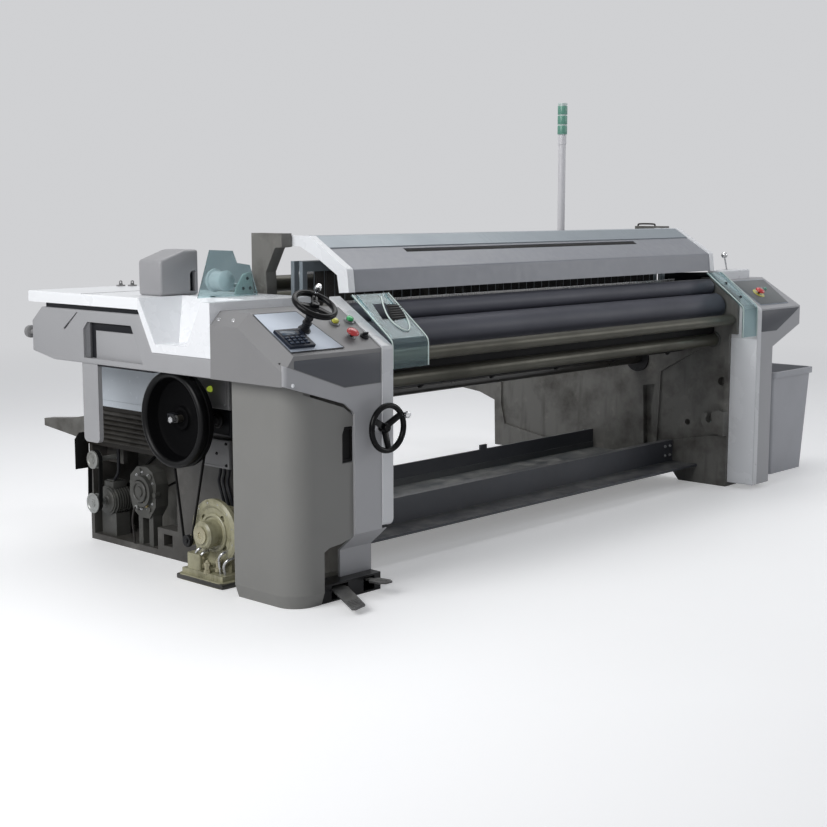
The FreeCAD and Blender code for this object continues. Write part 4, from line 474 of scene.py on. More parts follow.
# %% Finishes on the solids
# The main shaft takes the oily black as painted shade, since it lies in shade under the cloth.
own_finish = {"drive_bay_frame": "bay_shaded_grey", "let_off_gearbox": "gear_iron", "side_apron": "apron_grey",
              "hanging_post": "apron_grey", "key_switch": "black_plastic", "keypad_unit": "keypad_navy",
              "shaft_bearings": "black_iron", "motor_pulley": "pulley_pale", "let_off_pulley": "pulley_pale",
              "terminal_box": "cover_grey", "louvre_panel": "louvre_brown", "main_shaft": "oil_and_shade_black",
              "edge_trims": "trim_pale", "left_leg_cover": "leg_grey", "ball_lever": "bright_steel"}
slot_of = {part["node"]: part["material_slot"] for part in frame["record"]["subparts"]}
for name, solid in frame["nodes"].items():
    for place in solid.material_slots:
        place.material = finishes[own_finish.get(name, slot_of[name])]
print("solids dressed:", len(slot_of))

# %% [markdown]
# Now the finer pieces. Each one starts as a primitive at its place and is shaped in edit mode,
# as by hand. An operator acts on all that is selected, so the first helpers clear the
# selection, pick faces by the way they look, and finish a piece at the origin.

# %% Helpers for selecting and finishing


def begin():
    """Nothing selected, so that an operator touches only the new piece."""
    bpy.ops.object.select_all(action="DESELECT")


def choose(direction, least):
    """In edit mode, select the faces that look along a direction: 1 is exactly, 0 is square to it."""
    shape = bmesh.from_edit_mesh(bpy.context.object.data)
    for item in list(shape.verts) + list(shape.edges) + list(shape.faces):
        item.select = False
    for face in shape.faces:
        face.select = face.normal.dot(Vector(direction)) > least
    shape.select_flush_mode()
    bmesh.update_edit_mesh(bpy.context.object.data)


def settle(name, finish_name, body, slot, *stands_for, smooth=35):
    """Leave edit mode, put the piece at the origin, and give it its finish and body. The slot is not used."""
    if bpy.context.object.mode == "EDIT":
        bpy.ops.mesh.select_all(action="SELECT")
        bpy.ops.mesh.normals_make_consistent(inside=False)
        bpy.ops.object.mode_set(mode="OBJECT")
    piece = bpy.context.object
    bpy.ops.object.transform_apply(location=True, rotation=True, scale=True)
    bpy.ops.object.shade_smooth_by_angle(angle=math.radians(smooth))
    piece.name = name
    piece.data.materials.clear()
    piece.data.materials.append(finishes[finish_name])
    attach(piece, body)
    if stands_for:
        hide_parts(*stands_for)
    return piece


print("selected before the first piece:", len(bpy.context.selected_objects))

# %% [markdown]
# The two commonest forms on a machine are a block with rounded edges and a turned part. The
# block is a stretched cube with a bevel. The turned part is a circle, extruded along its axis
# and resized at each step, as a lathe cuts one shoulder after another.

# %% Helpers for blocks and turned parts


def block(low, high, bevel=3, steps=2):
    """A cube stretched between two drawn corners, with its edges bevelled. It stays in edit mode."""
    begin()
    a, b = mm(*low), mm(*high)
    bpy.ops.mesh.primitive_cube_add(size=1, location=(a + b) / 2)
    bpy.context.object.scale = b - a
    bpy.ops.object.transform_apply(location=True, rotation=True, scale=True)
    bpy.ops.object.mode_set(mode="EDIT")
    bpy.ops.mesh.select_all(action="SELECT")
    bpy.ops.mesh.bevel(offset=bevel / 1000, segments=steps, affect="EDGES")


def lid(direction, inset=8, depth=-3, least=0.95):
    """In edit mode, inset the face that looks along a direction, and push it in or raise it.

    A smaller least takes in the face's bevel too."""
    choose(direction, least)
    bpy.ops.mesh.inset(thickness=inset / 1000)
    bpy.ops.mesh.extrude_region_move(TRANSFORM_OT_translate={"value": Vector(direction) * depth / 1000})


def turned(foot, axis, profile, steps=32):
    """A circle at a drawn foot, extruded along an axis and resized step by step.

    profile lists (radius, height) in millimetres. The piece stays in edit mode."""
    begin()
    along = Vector(axis).normalized()
    radius, height = profile[0]
    bpy.ops.mesh.primitive_circle_add(vertices=steps, radius=radius / 1000, fill_type="NGON",
                                      location=mm(*foot) + along * height / 1000)
    ring = bpy.context.object
    ring.rotation_euler = along.to_track_quat("Z", "Y").to_euler()
    bpy.ops.object.transform_apply(location=True, rotation=True, scale=True)
    bpy.ops.object.mode_set(mode="EDIT")
    bpy.ops.mesh.select_all(action="SELECT")
    for new_radius, new_height in profile[1:]:
        step = along * (new_height - height) / 1000
        bpy.ops.mesh.extrude_region_move(TRANSFORM_OT_translate={"value": step})
        size = new_radius / radius
        bpy.ops.transform.resize(value=(size, size, size), center_override=mm(*foot) + along * new_height / 1000)
        radius, height = new_radius, new_height


print("a drawn millimetre is", round((mm(1, 0, 0) - mm(0, 0, 0)).x, 6), "m")

# %% [markdown]
# What repeats is modelled once and copied, in rows or in rings, and the copies are joined, so
# that a row of screws is one piece. A piece with its own slant is drawn flat about the
# drawing's origin first and then set on its foot.

# %% Helpers for copies


def copies(piece, shifts):
    """Copies of a piece, each with its own mesh and its own shift, joined to the first."""
    begin()
    name = piece.name
    for shift in shifts:
        twin = piece.copy()
        twin.data = piece.data.copy()
        twin.data.transform(shift)
        bpy.context.collection.objects.link(twin)
        twin.select_set(True)
    piece.select_set(True)
    bpy.context.view_layer.objects.active = piece
    bpy.ops.object.join()
    piece.name = name
    return piece


def repeat(piece, moves):
    """Copies of a piece at drawn steps from it."""
    copies(piece, [Matrix.Translation(Vector(move) / 1000) for move in moves])


def drawn_turn(angle, axis="Z"):
    """A turn about an axis through the drawing's origin."""
    centre = Matrix.Translation(mm(0, 0, 0))
    return centre @ Matrix.Rotation(angle, 4, axis) @ centre.inverted()


def around(piece, count):
    """Copies of a flat-drawn piece, turned evenly about the drawing's Z."""
    return copies(piece, [drawn_turn(math.tau * number / count) for number in range(1, count)])


def join(name, *others):
    """Join finished pieces of one body and one finish into the first of them."""
    begin()
    for other in others:
        other.select_set(True)
    bpy.context.view_layer.objects.active = others[0]
    bpy.ops.object.join()
    bpy.context.object.name = name
    return bpy.context.object


def place_again(piece, foot, up):
    """Move a piece that was drawn about the drawing's origin onto a foot, its Z turned to up."""
    z = Vector(up).normalized()
    across = Vector((1, 0, 0))
    x = (across - z * z.dot(across)).normalized()
    turn = Matrix((x, z.cross(x), z)).transposed().to_4x4()
    piece.data.transform(Matrix.Translation(mm(*foot)) @ turn @ Matrix.Translation(-mm(0, 0, 0)))
    return piece


print("a sixth of a turn about the drawing's origin:", round(math.degrees(drawn_turn(math.tau / 6).to_euler().z)))

# %% [markdown]
# Screws hold every cover. One is a low hexagon with a chamfered crown on a round washer; the
# rest are copies, often in a ring round a cap. A pipe is a curve with a round section, turned
# into a mesh.

# %% Screws and pipes


def screws(name, places, axis, finish_name, body, slot, across=7.0, high=5.0):
    """Hexagon heads on washers at drawn places, all facing one way."""
    foot = places[0]
    turned(foot, axis, [(across * 1.05, -0.5), (across * 1.05, 1.0), (across * 0.98, 1.5)], 20)
    washer = settle("washer", finish_name, body, slot)
    turned(foot, axis, [(across * 0.82, 1.2), (across * 0.82, high * 0.8), (across * 0.66, high)], 6)
    head = settle("head", finish_name, body, slot, smooth=20)
    screw = join(name, washer, head)
    if places[1:]:
        repeat(screw, [tuple(Vector(p) - Vector(foot)) for p in places[1:]])


def ring_places(centre, wide, high, first, step, count):
    """Drawn places on an ellipse that lies square to X, from a first angle in degrees, step by step."""
    x, y, z = centre
    turns = [math.radians(first + step * k) for k in range(count)]
    return [(x, y + wide * math.cos(a), z + high * math.sin(a)) for a in turns]


def pipe(name, points, radius, finish_name, body, slot):
    """A rigid pipe along drawn points, rounded at its corners, with closed ends."""
    begin()
    curve = bpy.data.curves.new(name, "CURVE")
    curve.dimensions = "3D"
    line = curve.splines.new("NURBS")
    line.points.add(len(points) - 1)
    for point, spot in zip(line.points, points):
        point.co = (*mm(*spot), 1.0)
    line.order_u = 3
    line.use_endpoint_u = True
    line.resolution_u = 6
    curve.bevel_depth = radius / 1000
    curve.bevel_resolution = 4
    curve.use_fill_caps = True
    made = bpy.data.objects.new(name, curve)
    bpy.context.collection.objects.link(made)
    made.select_set(True)
    bpy.context.view_layer.objects.active = made
    bpy.ops.object.convert(target="MESH")
    return settle(name, finish_name, body, slot)


print("a ring of four places:", [tuple(round(v) for v in spot) for spot in ring_places((0, 0, 0), 9, 9, 0, 90, 4)])

# %% [markdown]
# The drive wheel is a deep dish of cast iron, belted on its outside. It is the darkest and
# glossiest thing on the loom. A ring is extruded along the shaft and resized at each step: out
# over the rolled lip, down the dish wall, in over the web and up the hub, then the back is
# closed the same way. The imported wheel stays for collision.

# %% Drive wheel
wheel_at = (-2085, *shaft_line)
outward = (-1, 0, 0)
dish = [(16, -96), (44, -96), (44, -84), (150, -84), (168, -82), (196, -80), (203, -76), (203, -70), (211, -68),
        (211, -48), (205, -46), (205, -32), (211, -30), (211, -15), (209, -8), (204.5, -2.8), (197, 0), (189, -2),
        (182.5, -7), (179, -15), (174, -44), (166, -64), (150, -72), (84, -74), (58, -74), (52, -70), (48, -60),
        (38, -58), (33, -60), (30, -62), (16.2, -62)]
turned(wheel_at, outward, dish, 96)
wheel = settle("drive_wheel_dish", "wheel_black", "main_drive", "black_iron", "drive_wheel", smooth=40)
# The faces inside the dish take the darker, duller black as painted shade.
wheel.data.materials.append(finishes["wheel_dish_shade"])
centre = mm(*wheel_at)
dish_reach, dish_floor = 0.1795, 0.0755      # the dish's inside, from the axis and from the lip
for face in wheel.data.polygons:
    away = face.center - centre
    inside = math.hypot(away.y, away.z) < dish_reach and away.x < dish_floor
    face.material_index = 1 if inside else 0
turned((-2053, *shaft_line), outward, [(15, 0), (15, 30), (13, 33), (9, 34.5)], 6)
settle("drive_wheel_nut", "bright_steel", "main_drive", "bright_steel", smooth=20)
block((-2052, -196, 688), (-2016, -150, 728), 5, 3)
lid(outward, 6, -3)
settle("drive_wheel_clamp", "black_plastic", "main_drive", "black_plastic")

# %% [markdown]
# In the drive bay the pulleys are bare turned faces, the motor has an end bell and a wiring
# box, and the let-off gearbox has a raised ring, cover screws, an oil glass and a drain at its
# foot. Each is turned about the axis it has on the machine, so its rings lie true.

# %% Drive bay fittings
left = (-1, 0, 0)
for name, spot, radius, body in (("motor_pulley_face", (-1909, *motor_line), 50, "motor_rotor"),
                                 ("let_off_pulley_face", (-1911, *let_off_line), 44, "let_off_drive")):
    turned(spot, left, [(radius - 1, -2), (radius - 1, 3), (radius - 4, 5), (radius - 12, 5), (radius - 15, 1.5),
                        (20, 1.5), (18, 6), (12, 6), (10, 10), (5, 11)], 40)
    settle(name, "pulley_pale", body, "bright_steel")
turned((-1860, *gearbox_line), left, [(52, -4), (52, 6), (49, 9), (42, 9), (39, 6), (39, 2), (26, 2), (24, 8),
                                      (14, 10), (6, 10)], 40)
settle("gearbox_ring", "gear_iron", "machine", "motor_grey")
screws("gearbox_screws", ring_places((-1838, *gearbox_line), 82, 90, 20, 32.7, 11), left, "bright_steel", "machine",
       "bright_steel", 6.5, 6)
turned((-1838, 300, 232), left, [(17, -3), (17, 8), (14, 11), (11, 11), (10, 9), (3, 9)], 24)
settle("gearbox_oil_glass", "amber_glass", "machine", "yellow_plastic")
turned((-1838, 345, 214), left, [(11, -3), (11, 9), (8, 9), (8, 22), (10, 23), (10, 29), (6, 31)], 16)
settle("gearbox_drain", "pulley_pale", "machine", "bright_steel")
pipe("gearbox_pipes", [(-1862, 345, 214), (-1874, 345, 214), (-1877, 350, 196), (-1872, 366, 160), (-1862, 380, 120),
                       (-1850, 384, 60), (-1850, 384, 31)], 5, "dark_steel", "machine", "dark_steel")
block((-1822, 585, 262), (-1742, 660, 296), 5)
lid((0, 0, 1), 5, 6, 0.9)
settle("motor_wiring_box", "motor_grey", "machine", "motor_grey")
pipe("motor_conduit", [(-1800, 612, 290), (-1800, 590, 318), (-1806, 560, 340), (-1818, 540, 420),
                       (-1822, 536, 560)], 8, "black_plastic", "machine", "black_plastic")
turned((-1828, *motor_line), left, [(62, -2), (62, 5), (58, 8), (30, 9), (24, 14), (18, 15)], 40)
settle("motor_end_bell", "motor_grey", "machine", "motor_grey")

# %% [markdown]
# The pump beside the leg is a brassy casting with a raised collar, a ring of screws, four
# bright pipes and three unions. One pipe is bent along its points and drawn again for each
# place, because each rises to its own height.

# %% Pump fittings
pump_at = (-1965, *pump_line)
turned(pump_at, left, [(86, -2), (86, 6), (82, 9), (74, 9), (71, 6), (71, 2), (50, 2)], 48)
settle("pump_collar", "pump_iron", "machine", "pump_iron")
turned((-2044, *pump_line), left, [(38, -6), (38, 0), (35, 0.8), (14, 0.8), (12, -4), (4, -4)], 32)
settle("pump_hub_face", "pump_bright", "machine", "pump_iron")
screws("pump_screws", ring_places(pump_at, 132, 132, 15, 30, 12), left, "bright_steel", "machine",
       "bright_steel", 6.5, 7)
for number, (y, drop) in enumerate(((-262, 92), (-290, 78), (-420, 96), (-452, 70))):
    pipe("pump_pipe_%d" % number, [(-1990, y, 40), (-1998, y, drop), (-2006, y - 8, drop + 26),
                                   (-2000, y - 20, drop + 44), (-1982, y - 24, drop + 52),
                                   (-1966, y - 24, drop + 54)], 6, "bright_steel", "machine", "bright_steel")
turned((-1992, -300, 60), (0, 0, 1), [(16, -2), (16, 14), (12, 16), (12, 34), (15, 35), (15, 46), (10, 48),
                                      (5, 58)], 6)
union = settle("pump_unions", "pump_bright", "machine", "pump_iron", smooth=20)
repeat(union, [(0, -110, 0), (-22, -60, -14)])

# %% [markdown]
# The drive wheel hides a wiring box with a signal lamp, and beside it, next to the leg, stand a
# black clutch housing on the shaft and a grey plate. They are blocks whose faces are inset and
# pushed in, which gives a lid its rim.

# %% Behind the drive wheel
block((-1866, -356, 618), (-1846, -196, 742), 8, 3)
lid(left)
settle("clutch_housing", "black_plastic", "machine", "black_plastic")
turned((-1864, -276, 690), left, [(34, -4), (34, 12), (30, 16), (20, 16), (16, 22), (6, 22)], 32)
settle("clutch_cap", "black_iron", "machine", "black_iron")
block((-1866, -340, 476), (-1846, -150, 604), 4)
lid(left, 6, -2)
settle("clutch_plate", "cover_grey", "machine", "cover_grey")
screws("clutch_plate_screws", [(-1865, -255, 540), (-1865, -320, 588), (-1865, -170, 588), (-1865, -320, 492)], left,
       "black_iron", "machine", "black_iron", 7, 6)
for number, y in enumerate((-300, -272, -330)):
    pipe("clutch_cable_%d" % number, [(-1858, y, 478), (-1858, y, 455), (-1862, y + 12, 420), (-1866, y - 10, 372),
                                      (-1862, y - 24, 330), (-1858, y - 30, 290), (-1854, y - 30, 250)], 7,
         "black_plastic", "machine", "black_plastic")
turned((-1900, -270, 830), left, [(15, -6), (15, 4), (13, 6), (12, 6), (12, 14), (9, 19), (4, 21)], 24)
settle("signal_lamp", "lamp_yellow", "machine", "yellow_plastic")
block((-1903, -372, 758), (-1899, -134, 892), 1.5)
lid(left, 5, -1)
settle("terminal_lid", "cover_grey", "machine", "cover_grey")
screws("terminal_screws", [(-1902, y, z) for y in (-362, -144) for z in (768, 882)], left, "bright_steel", "machine",
       "bright_steel", 4, 4)

# %% [markdown]
# The console slopes up away from the weaver. Its fittings are drawn flat, with x across, y up
# the slope and z off the panel, and the finished mesh is then turned onto the slope. Flat
# plates come back on every cover, so one helper makes a plate from its corners, and three
# short ones stand it on a front, on a side or on the slope.

# %% Helpers for plates and the slope
slope_angle = math.atan2(157, 255)       # the slope rises 157 mm over 255 mm
slope_up = (0, -math.sin(slope_angle), math.cos(slope_angle))
step_up = Vector((0, math.cos(slope_angle), math.sin(slope_angle)))      # one step up the slope
lip = (0, console_front, 1035)


def on_panel(piece):
    """Turn a piece that was drawn flat onto the console's slope."""
    return place_again(piece, lip, slope_up)


def outline(corners, thick, direction=(0, -1, 0), bevel=1.0, steps=2):
    """A flat plate from its drawn corners: a many-sided circle whose corners are moved, then extruded."""
    begin()
    bpy.ops.mesh.primitive_circle_add(vertices=len(corners), radius=0.1, fill_type="NGON")
    bpy.ops.object.mode_set(mode="EDIT")
    shape = bmesh.from_edit_mesh(bpy.context.object.data)
    shape.verts.ensure_lookup_table()
    for corner, place in zip(shape.verts, corners):
        corner.co = mm(*place)
    bmesh.update_edit_mesh(bpy.context.object.data)
    bpy.ops.mesh.select_all(action="SELECT")
    bpy.ops.mesh.extrude_region_move(TRANSFORM_OT_translate={"value": Vector(direction) * thick / 1000})
    bpy.ops.mesh.select_all(action="SELECT")
    bpy.ops.mesh.bevel(offset=bevel / 1000, segments=steps, affect="EDGES", clamp_overlap=True)


def front_plate(corners, y, thick, bevel=1.0, steps=2):
    """A plate from (x, z) corners, standing off the plane y towards the weaver."""
    outline([(x, y, z) for x, z in corners], thick, (0, -1, 0), bevel, steps)


def side_plate(corners, x, thick, bevel=1.0, steps=2):
    """A plate from (y, z) corners, standing off the plane x towards the left."""
    outline([(x, y, z) for y, z in corners], thick, (-1, 0, 0), bevel, steps)


def slope_plate(corners, high, thick, bevel):
    """A plate from (across, up the slope) corners, lying at a height off the console's slope."""
    outline([(x, up, high) for x, up in corners], thick, (0, 0, 1), bevel)


print("the console slopes at", round(math.degrees(slope_angle), 1), "degrees")

# %% [markdown]
# On the left console lie a dark plate on the front, a silver one with a thin black gasket on
# the slope, and on that the keypad: a sunk window, a display and three rows of four keys.
# One key is made and copied, so the whole pad is a single piece.

# %% Console fittings
front_plate([(-2079, 1017), (-1598, 1017), (-1598, 893), (-1803, 890), (-2079, 986)], console_front, 1.6)
settle("console_front_plate", "cover_dark", "machine", "cover_grey")
slope_plate([(-2079, 20), (-1786, 20), (-1844, 287), (-2079, 287)], 3.2, 0.6, 0.3)
on_panel(settle("console_plate_gasket", "black_plastic", "machine", "black_plastic"))
slope_plate([(-2076, 24), (-1792, 24), (-1848, 282), (-2076, 282)], 3.6, 0.8, 0.4)
on_panel(settle("console_plate_face", "plate_silver", "machine", "plate_silver"))
block((-2060, 108, 14), (-1946, 150, 18.5), 1.5)
lid((0, 0, 1), 5, -1.5)
on_panel(settle("keypad_window", "keypad_navy", "machine", "black_plastic"))
block((-2053, 115, 16.5), (-1975, 143, 18.2), 0.6)
on_panel(settle("keypad_display", "display_glass", "machine", "black_plastic"))
block((-2057, 55, 19), (-2041, 66, 22.5), 1.2)
key = on_panel(settle("keypad_keys", "key_blue", "machine", "black_plastic"))
repeat(key, [tuple(Vector((28 * column, 0, 0)) + step_up * 18 * row) for row in range(3) for column in range(4)
             if row or column])

# %% [markdown]
# The push buttons are low domes and the stop buttons wide mushrooms on a neck, each turned about
# the panel's normal. A cap rides on its own body, so that it goes in when pressed, and the
# grey collar round it stays on the console.

# %% Console buttons


def button(name, x, s, finish_name, body, slot, profile, stands_for):
    """A push button on the slope, turned about the panel's normal."""
    turned((x, s, 0), (0, 0, 1), profile, 32)
    on_panel(settle(name, finish_name, body, slot, stands_for))


def collar(name, x, s, radius, high=7.0):
    """The fixed ring round a button."""
    turned((x, s, 0), (0, 0, 1), [(radius, 1), (radius, high - 2), (radius - 2, high), (radius - 5, high),
                                  (radius - 6, high - 2), (radius - 6, 1)], 32)
    on_panel(settle(name, "collar_grey", "machine", "bright_steel"))


dome = [(6, -4), (6, 9), (15, 9.6), (15.6, 16), (14.4, 19.5), (10.5, 22), (5, 23)]
button("start_cap", -1614, 196, "green_plastic", "start", "green_plastic", dome, "start_button")
button("jog_cap", -1705, 190, "yellow_plastic", "jog", "yellow_plastic", dome, "jog_button")
collar("start_collar", -1614, 196, 23)
collar("jog_collar", -1705, 190, 23)
mushroom = [(9, 14), (9, 16), (24, 18), (27, 21), (27, 25.5), (24, 30.5), (16, 34.5), (7, 36)]
for side, x, s in (("left", -1690, 92), ("right", 1665, 142)):
    button(side + "_stop_cap", x, s, "red_plastic", side + "_stop", "red_plastic", mushroom, side + "_stop_button")
    turned((x, s, 0), (0, 0, 1), [(6.5, -4), (6.5, 11), (10, 12), (10, 17)], 24)
    on_panel(settle(side + "_stop_neck", "black_plastic", side + "_stop", "black_plastic"))
    collar(side + "_stop_collar", x, s, 20, 6)
turned((-1622, 82, 0), (0, 0, 1), [(19, 1), (19, 6), (16, 9), (15, 9), (14, 13), (12.5, 14)], 32)
on_panel(settle("key_collar", "black_plastic", "machine", "black_plastic"))
block((-1636, 78.6, 12), (-1608, 85.4, 24), 2)
on_panel(settle("key_handle", "black_plastic", "key", "black_plastic"))

# %% [markdown]
# The console's handwheel stands on a stem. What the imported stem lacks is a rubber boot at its
# foot, turned in rings, and the black universal joint above, two forks set across each other.

# %% Console stem
turned((-1903, 156, 0), (0, 0, 1), [(27, 3.6), (27, 9), (25, 11), (23, 11), (22, 16), (18, 18), (17, 34), (20, 37),
                                    (20, 43), (17, 46), (14.2, 48), (14.2, 70), (17, 72), (17, 93), (15, 95)], 32)
on_panel(settle("console_stem_boot", "black_plastic", "machine", "black_plastic"))
forks = (((-1922, 149, 50), (-1884, 163, 64)), ((-1910, 137, 58), (-1896, 175, 76)))
for number, (low, high) in enumerate(forks):
    block(low, high, 4, 3)
    on_panel(settle("stem_joint_%d" % number, "black_iron", "machine", "black_iron"))

# %% [markdown]
# Both handwheels are black moulded rims on three flat spokes. A torus gives the rim and one
# bevelled spoke is turned about the hub twice. The wheel is drawn flat and then set on its
# stem, and the bright knob on its pin stays as packed.

# %% Handwheels
rim_tube = 0.0118        # the radius of the rim's own section, in metres


def handwheel(name, rim_r, hub_long, rim_high, pin_long, angle, foot, up, body, stands_for):
    """Rim, hub, three spokes and the knob's pin as one piece, set on a foot."""
    looks = ("handwheel_black", body, "black_plastic")
    begin()
    bpy.ops.mesh.primitive_torus_add(location=mm(0, 0, rim_high), major_radius=rim_r / 1000, minor_radius=rim_tube,
                                     major_segments=72, minor_segments=16)
    bpy.ops.object.mode_set(mode="EDIT")
    bpy.ops.transform.resize(value=(1, 1, 1.1), center_override=mm(0, 0, rim_high))
    rim = settle("rim", *looks, smooth=60)
    turned((0, 0, 0), (0, 0, 1), [(19, 0.3), (19, hub_long - 5), (16, hub_long), (9, hub_long), (8, hub_long - 2)])
    hub = settle("hub", *looks)
    outline([(12, -13, hub_long * 0.25), (rim_r, -13, rim_high - 7), (rim_r, -13, rim_high + 7),
             (12, -13, hub_long * 0.72)], 26, (0, 1, 0), 4)
    spokes = around(settle("spokes", *looks), 3)
    turned((rim_r, 0, rim_high), (0, 0, 1), [(5, 0), (5, pin_long)], 16)
    pin = settle("pin", *looks)
    wheel = join(name, rim, hub, spokes, pin)
    wheel.data.transform(drawn_turn(math.radians(angle)))
    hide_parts(stands_for)
    place_again(wheel, foot, up)


wheel_on_slope = Vector((-1903, *lip[1:])) + step_up * 156
handwheel("console_wheel_rim", rim_r=86, hub_long=42, rim_high=30, pin_long=32.5, angle=50,
          foot=tuple(wheel_on_slope + Vector(slope_up) * 96.5), up=slope_up, body="console_wheel",
          stands_for="console_handwheel")
handwheel("front_wheel_rim", rim_r=94, hub_long=40, rim_high=38, pin_long=32.5, angle=33,
          foot=(-1614, -1020.5, 708), up=(0, -1, 0), body="front_wheel", stands_for="front_handwheel")

# %% [markdown]
# The side apron hangs under the table. It is one moulding with rounded edges, a sunk window
# with a pale pane, a dark grey band painted as shade along its rear edge, and a slanted groove.
# Its outline is extruded and bevelled, and the window and groove are then cut out with a Boolean
# modifier.

# %% Side apron


def solid():
    """Leave edit mode with every face pointing outwards."""
    bpy.ops.mesh.select_all(action="SELECT")
    bpy.ops.mesh.normals_make_consistent(inside=False)
    bpy.ops.object.mode_set(mode="OBJECT")
    return bpy.context.object


def cut(piece, cutter):
    """Take the cutter's shape out of a piece."""
    begin()
    carve = piece.modifiers.new("carve", "BOOLEAN")
    carve.operation = "DIFFERENCE"
    carve.object = cutter
    piece.select_set(True)
    bpy.context.view_layer.objects.active = piece
    bpy.ops.object.modifier_apply(modifier=carve.name)
    bpy.data.objects.remove(cutter, do_unlink=True)


side_plate([(-559.7, 917), (573, 917), (744, 948), (743, 1089), (663, 1155), (-86.4, 1155), (-169.4, 998.7),
            (-559.7, 998.7)], left_side + 45, 45, 6, 3)
apron = solid()
side_plate([(-104, 942), (-24, 1104), (300, 1104), (332, 1072), (332, 942)], left_side + 20, 24, 3)
cut(apron, solid())
side_plate([(371, 1143), (381, 1143), (487, 1066), (478, 1059)], left_side + 7, 9, 0.5)
cut(apron, solid())
settle("apron_cover", "apron_grey", "machine", "cover_grey", "side_apron")

# %% [markdown]
# The apron's small parts lie in its window and under its edge: a dark grey band and a black frame
# that are painted shade along the window's rear and top edges, the pane, a black strip painted as
# shade in the groove, a black strip painted as shadow under the table and the latch knob behind.

# %% Apron window and edges
# A dark grey band and a black L along the window's rear and top edges: painted shade inside the sunk window.
side_plate([(330, 944), (330, 1071), (299, 1102), (288, 1102), (288, 944)], left_side + 20, 15, 3)
settle("apron_window_shade_band", "seal_and_shade_grey", "machine", "cover_grey")
side_plate([(286, 944), (286, 1101), (-22, 1101), (-38, 1068), (262, 1068), (262, 944)], left_side + 20, 3, 0.8)
settle("apron_window_shadow_frame", "black_plastic", "machine", "black_plastic")
side_plate([(260, 944), (260, 1066), (-38, 1066), (-98, 944)], left_side + 20, 1.5, 0.5)
settle("apron_pane", "apron_grey", "machine", "cover_grey")
# A black strip on the groove's floor: painted shade in the narrow groove.
side_plate([(372, 1141.5), (380, 1141.5), (485, 1065.5), (478, 1060.5)], left_side + 7, 1.5, 0.3)
settle("apron_groove_shade", "black_plastic", "machine", "black_plastic")
# A black strip between the apron's top and the table: painted shadow under the table's edge.
block((left_side + 12, -84, 1150), (left_side + 44, 640, 1175.7), 1.5)
lid(left, 3, -2)
settle("apron_top_shadow_strip", "black_plastic", "machine", "black_plastic")
# A black strip in the open gap under the apron's lower edge: a painted shadow line.
block((left_side + 8, -160, 909), (left_side + 40, 268, 917.5), 1.5)
lid(left, 1.5, -1)
settle("apron_foot_shadow_strip", "black_plastic", "machine", "black_plastic")
turned((-2106, 790, 1030), (0, 1, 0), [(12, -48), (12, 0), (20, 0.5), (29, 6), (30, 16), (29, 26), (24, 33),
                                       (8, 34)], 32)
settle("apron_latch_knob", "cover_grey", "machine", "cover_grey")

# %% [markdown]
# On the table stands the weft feeder's grey housing, rounded all over, with a slot in its
# front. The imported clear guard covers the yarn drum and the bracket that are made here.

# %% Weft feeder
front_plate([(-2010, 1227.3), (-2010, 1380), (-1876, 1425), (-1800, 1425), (-1800, 1227.3)], 85, 160, 12, 3)
feeder = solid()
front_plate([(-1849, 1243), (-1849, 1320), (-1838, 1334), (-1816, 1334), (-1816, 1243)], -50, 40, 4)
cut(feeder, solid())
settle("feeder_cover", "feeder_grey", "machine", "cover_grey", "feeder_housing")
front_plate([(-1848, 1244), (-1848, 1320), (-1838, 1333), (-1817, 1333), (-1817, 1244)], -50, 2, 1)
settle("feeder_slot", "black_plastic", "machine", "black_plastic")
turned((-1738, -78, 1288), (0, -1, 0), [(34, 0), (34, 22), (50, 24), (52, 30), (50, 36), (42, 40), (40, 100),
                                        (46, 104), (46, 112), (40, 118), (20, 124), (11, 128)], 48)
settle("feeder_drum", "trim_pale", "machine", "trim_white")
front_plate([(-1700, 1227.5), (-1690, 1262), (-1648, 1318), (-1606, 1324), (-1592, 1290), (-1592, 1227.5)], -190,
            10, 4, 3)
settle("feeder_bracket", "pole_pale", "machine", "pole_pale")
screws("feeder_bracket_screws", [(-1628, -200, 1296), (-1652, -200, 1252), (-1612, -200, 1252)], (0, -1, 0),
       "black_iron", "machine", "black_iron", 7, 6)
turned((-1640, -130, 1264), (-1, 0, 0), [(9, -40), (9, 90), (14, 92), (14, 108), (9, 112)], 24)
settle("feeder_guide_rod", "bright_steel", "machine", "bright_steel")

# %% [markdown]
# Two yarn eyelets are clamped near the table's rear edge, and a dark joint runs across the top
# where its two panels meet.

# %% Table fittings
eyelet_at = (-1642, 728, 1246)
second_one = (44, -34, 0)        # from the first eyelet to the second, and for their clamps
block((-1662, 716, 1226.5), (-1622, 740, 1234), 3)
lid((0, 0, 1), 7, 6, 0.9)
clamp = settle("table_clamps", "cover_grey", "machine", "cover_grey")
repeat(clamp, [second_one])
begin()
bpy.ops.mesh.primitive_torus_add(location=mm(*eyelet_at), rotation=(math.pi / 2, 0, 0), major_radius=0.007,
                                 minor_radius=0.0025, major_segments=28, minor_segments=10)
bpy.ops.object.mode_set(mode="EDIT")
bpy.ops.transform.resize(value=(1, 1.5, 1), center_override=mm(*eyelet_at))
eyelet = settle("table_eyelets", "cover_grey", "machine", "bright_steel", smooth=60)
repeat(eyelet, [second_one])
block((-2134, 344.4, 1226), (-1578, 347.2, 1227.6), 0.3, 1)
settle("table_joint", "seal_and_shade_grey", "machine", "cover_grey")

# %% [markdown]
# The clear roller guards are folded sheets. Pale ribs stiffen their edges, and the left one
# has a black louvred vent, ringed by a pale curved pipe that is a painted highlight. Their front
# slope is steeper than the console's, so pieces on it are drawn flat and turned onto that slope.

# %% Roller guards
guard_foot, guard_up = (0, -988, 1066), (0, -174, 228)


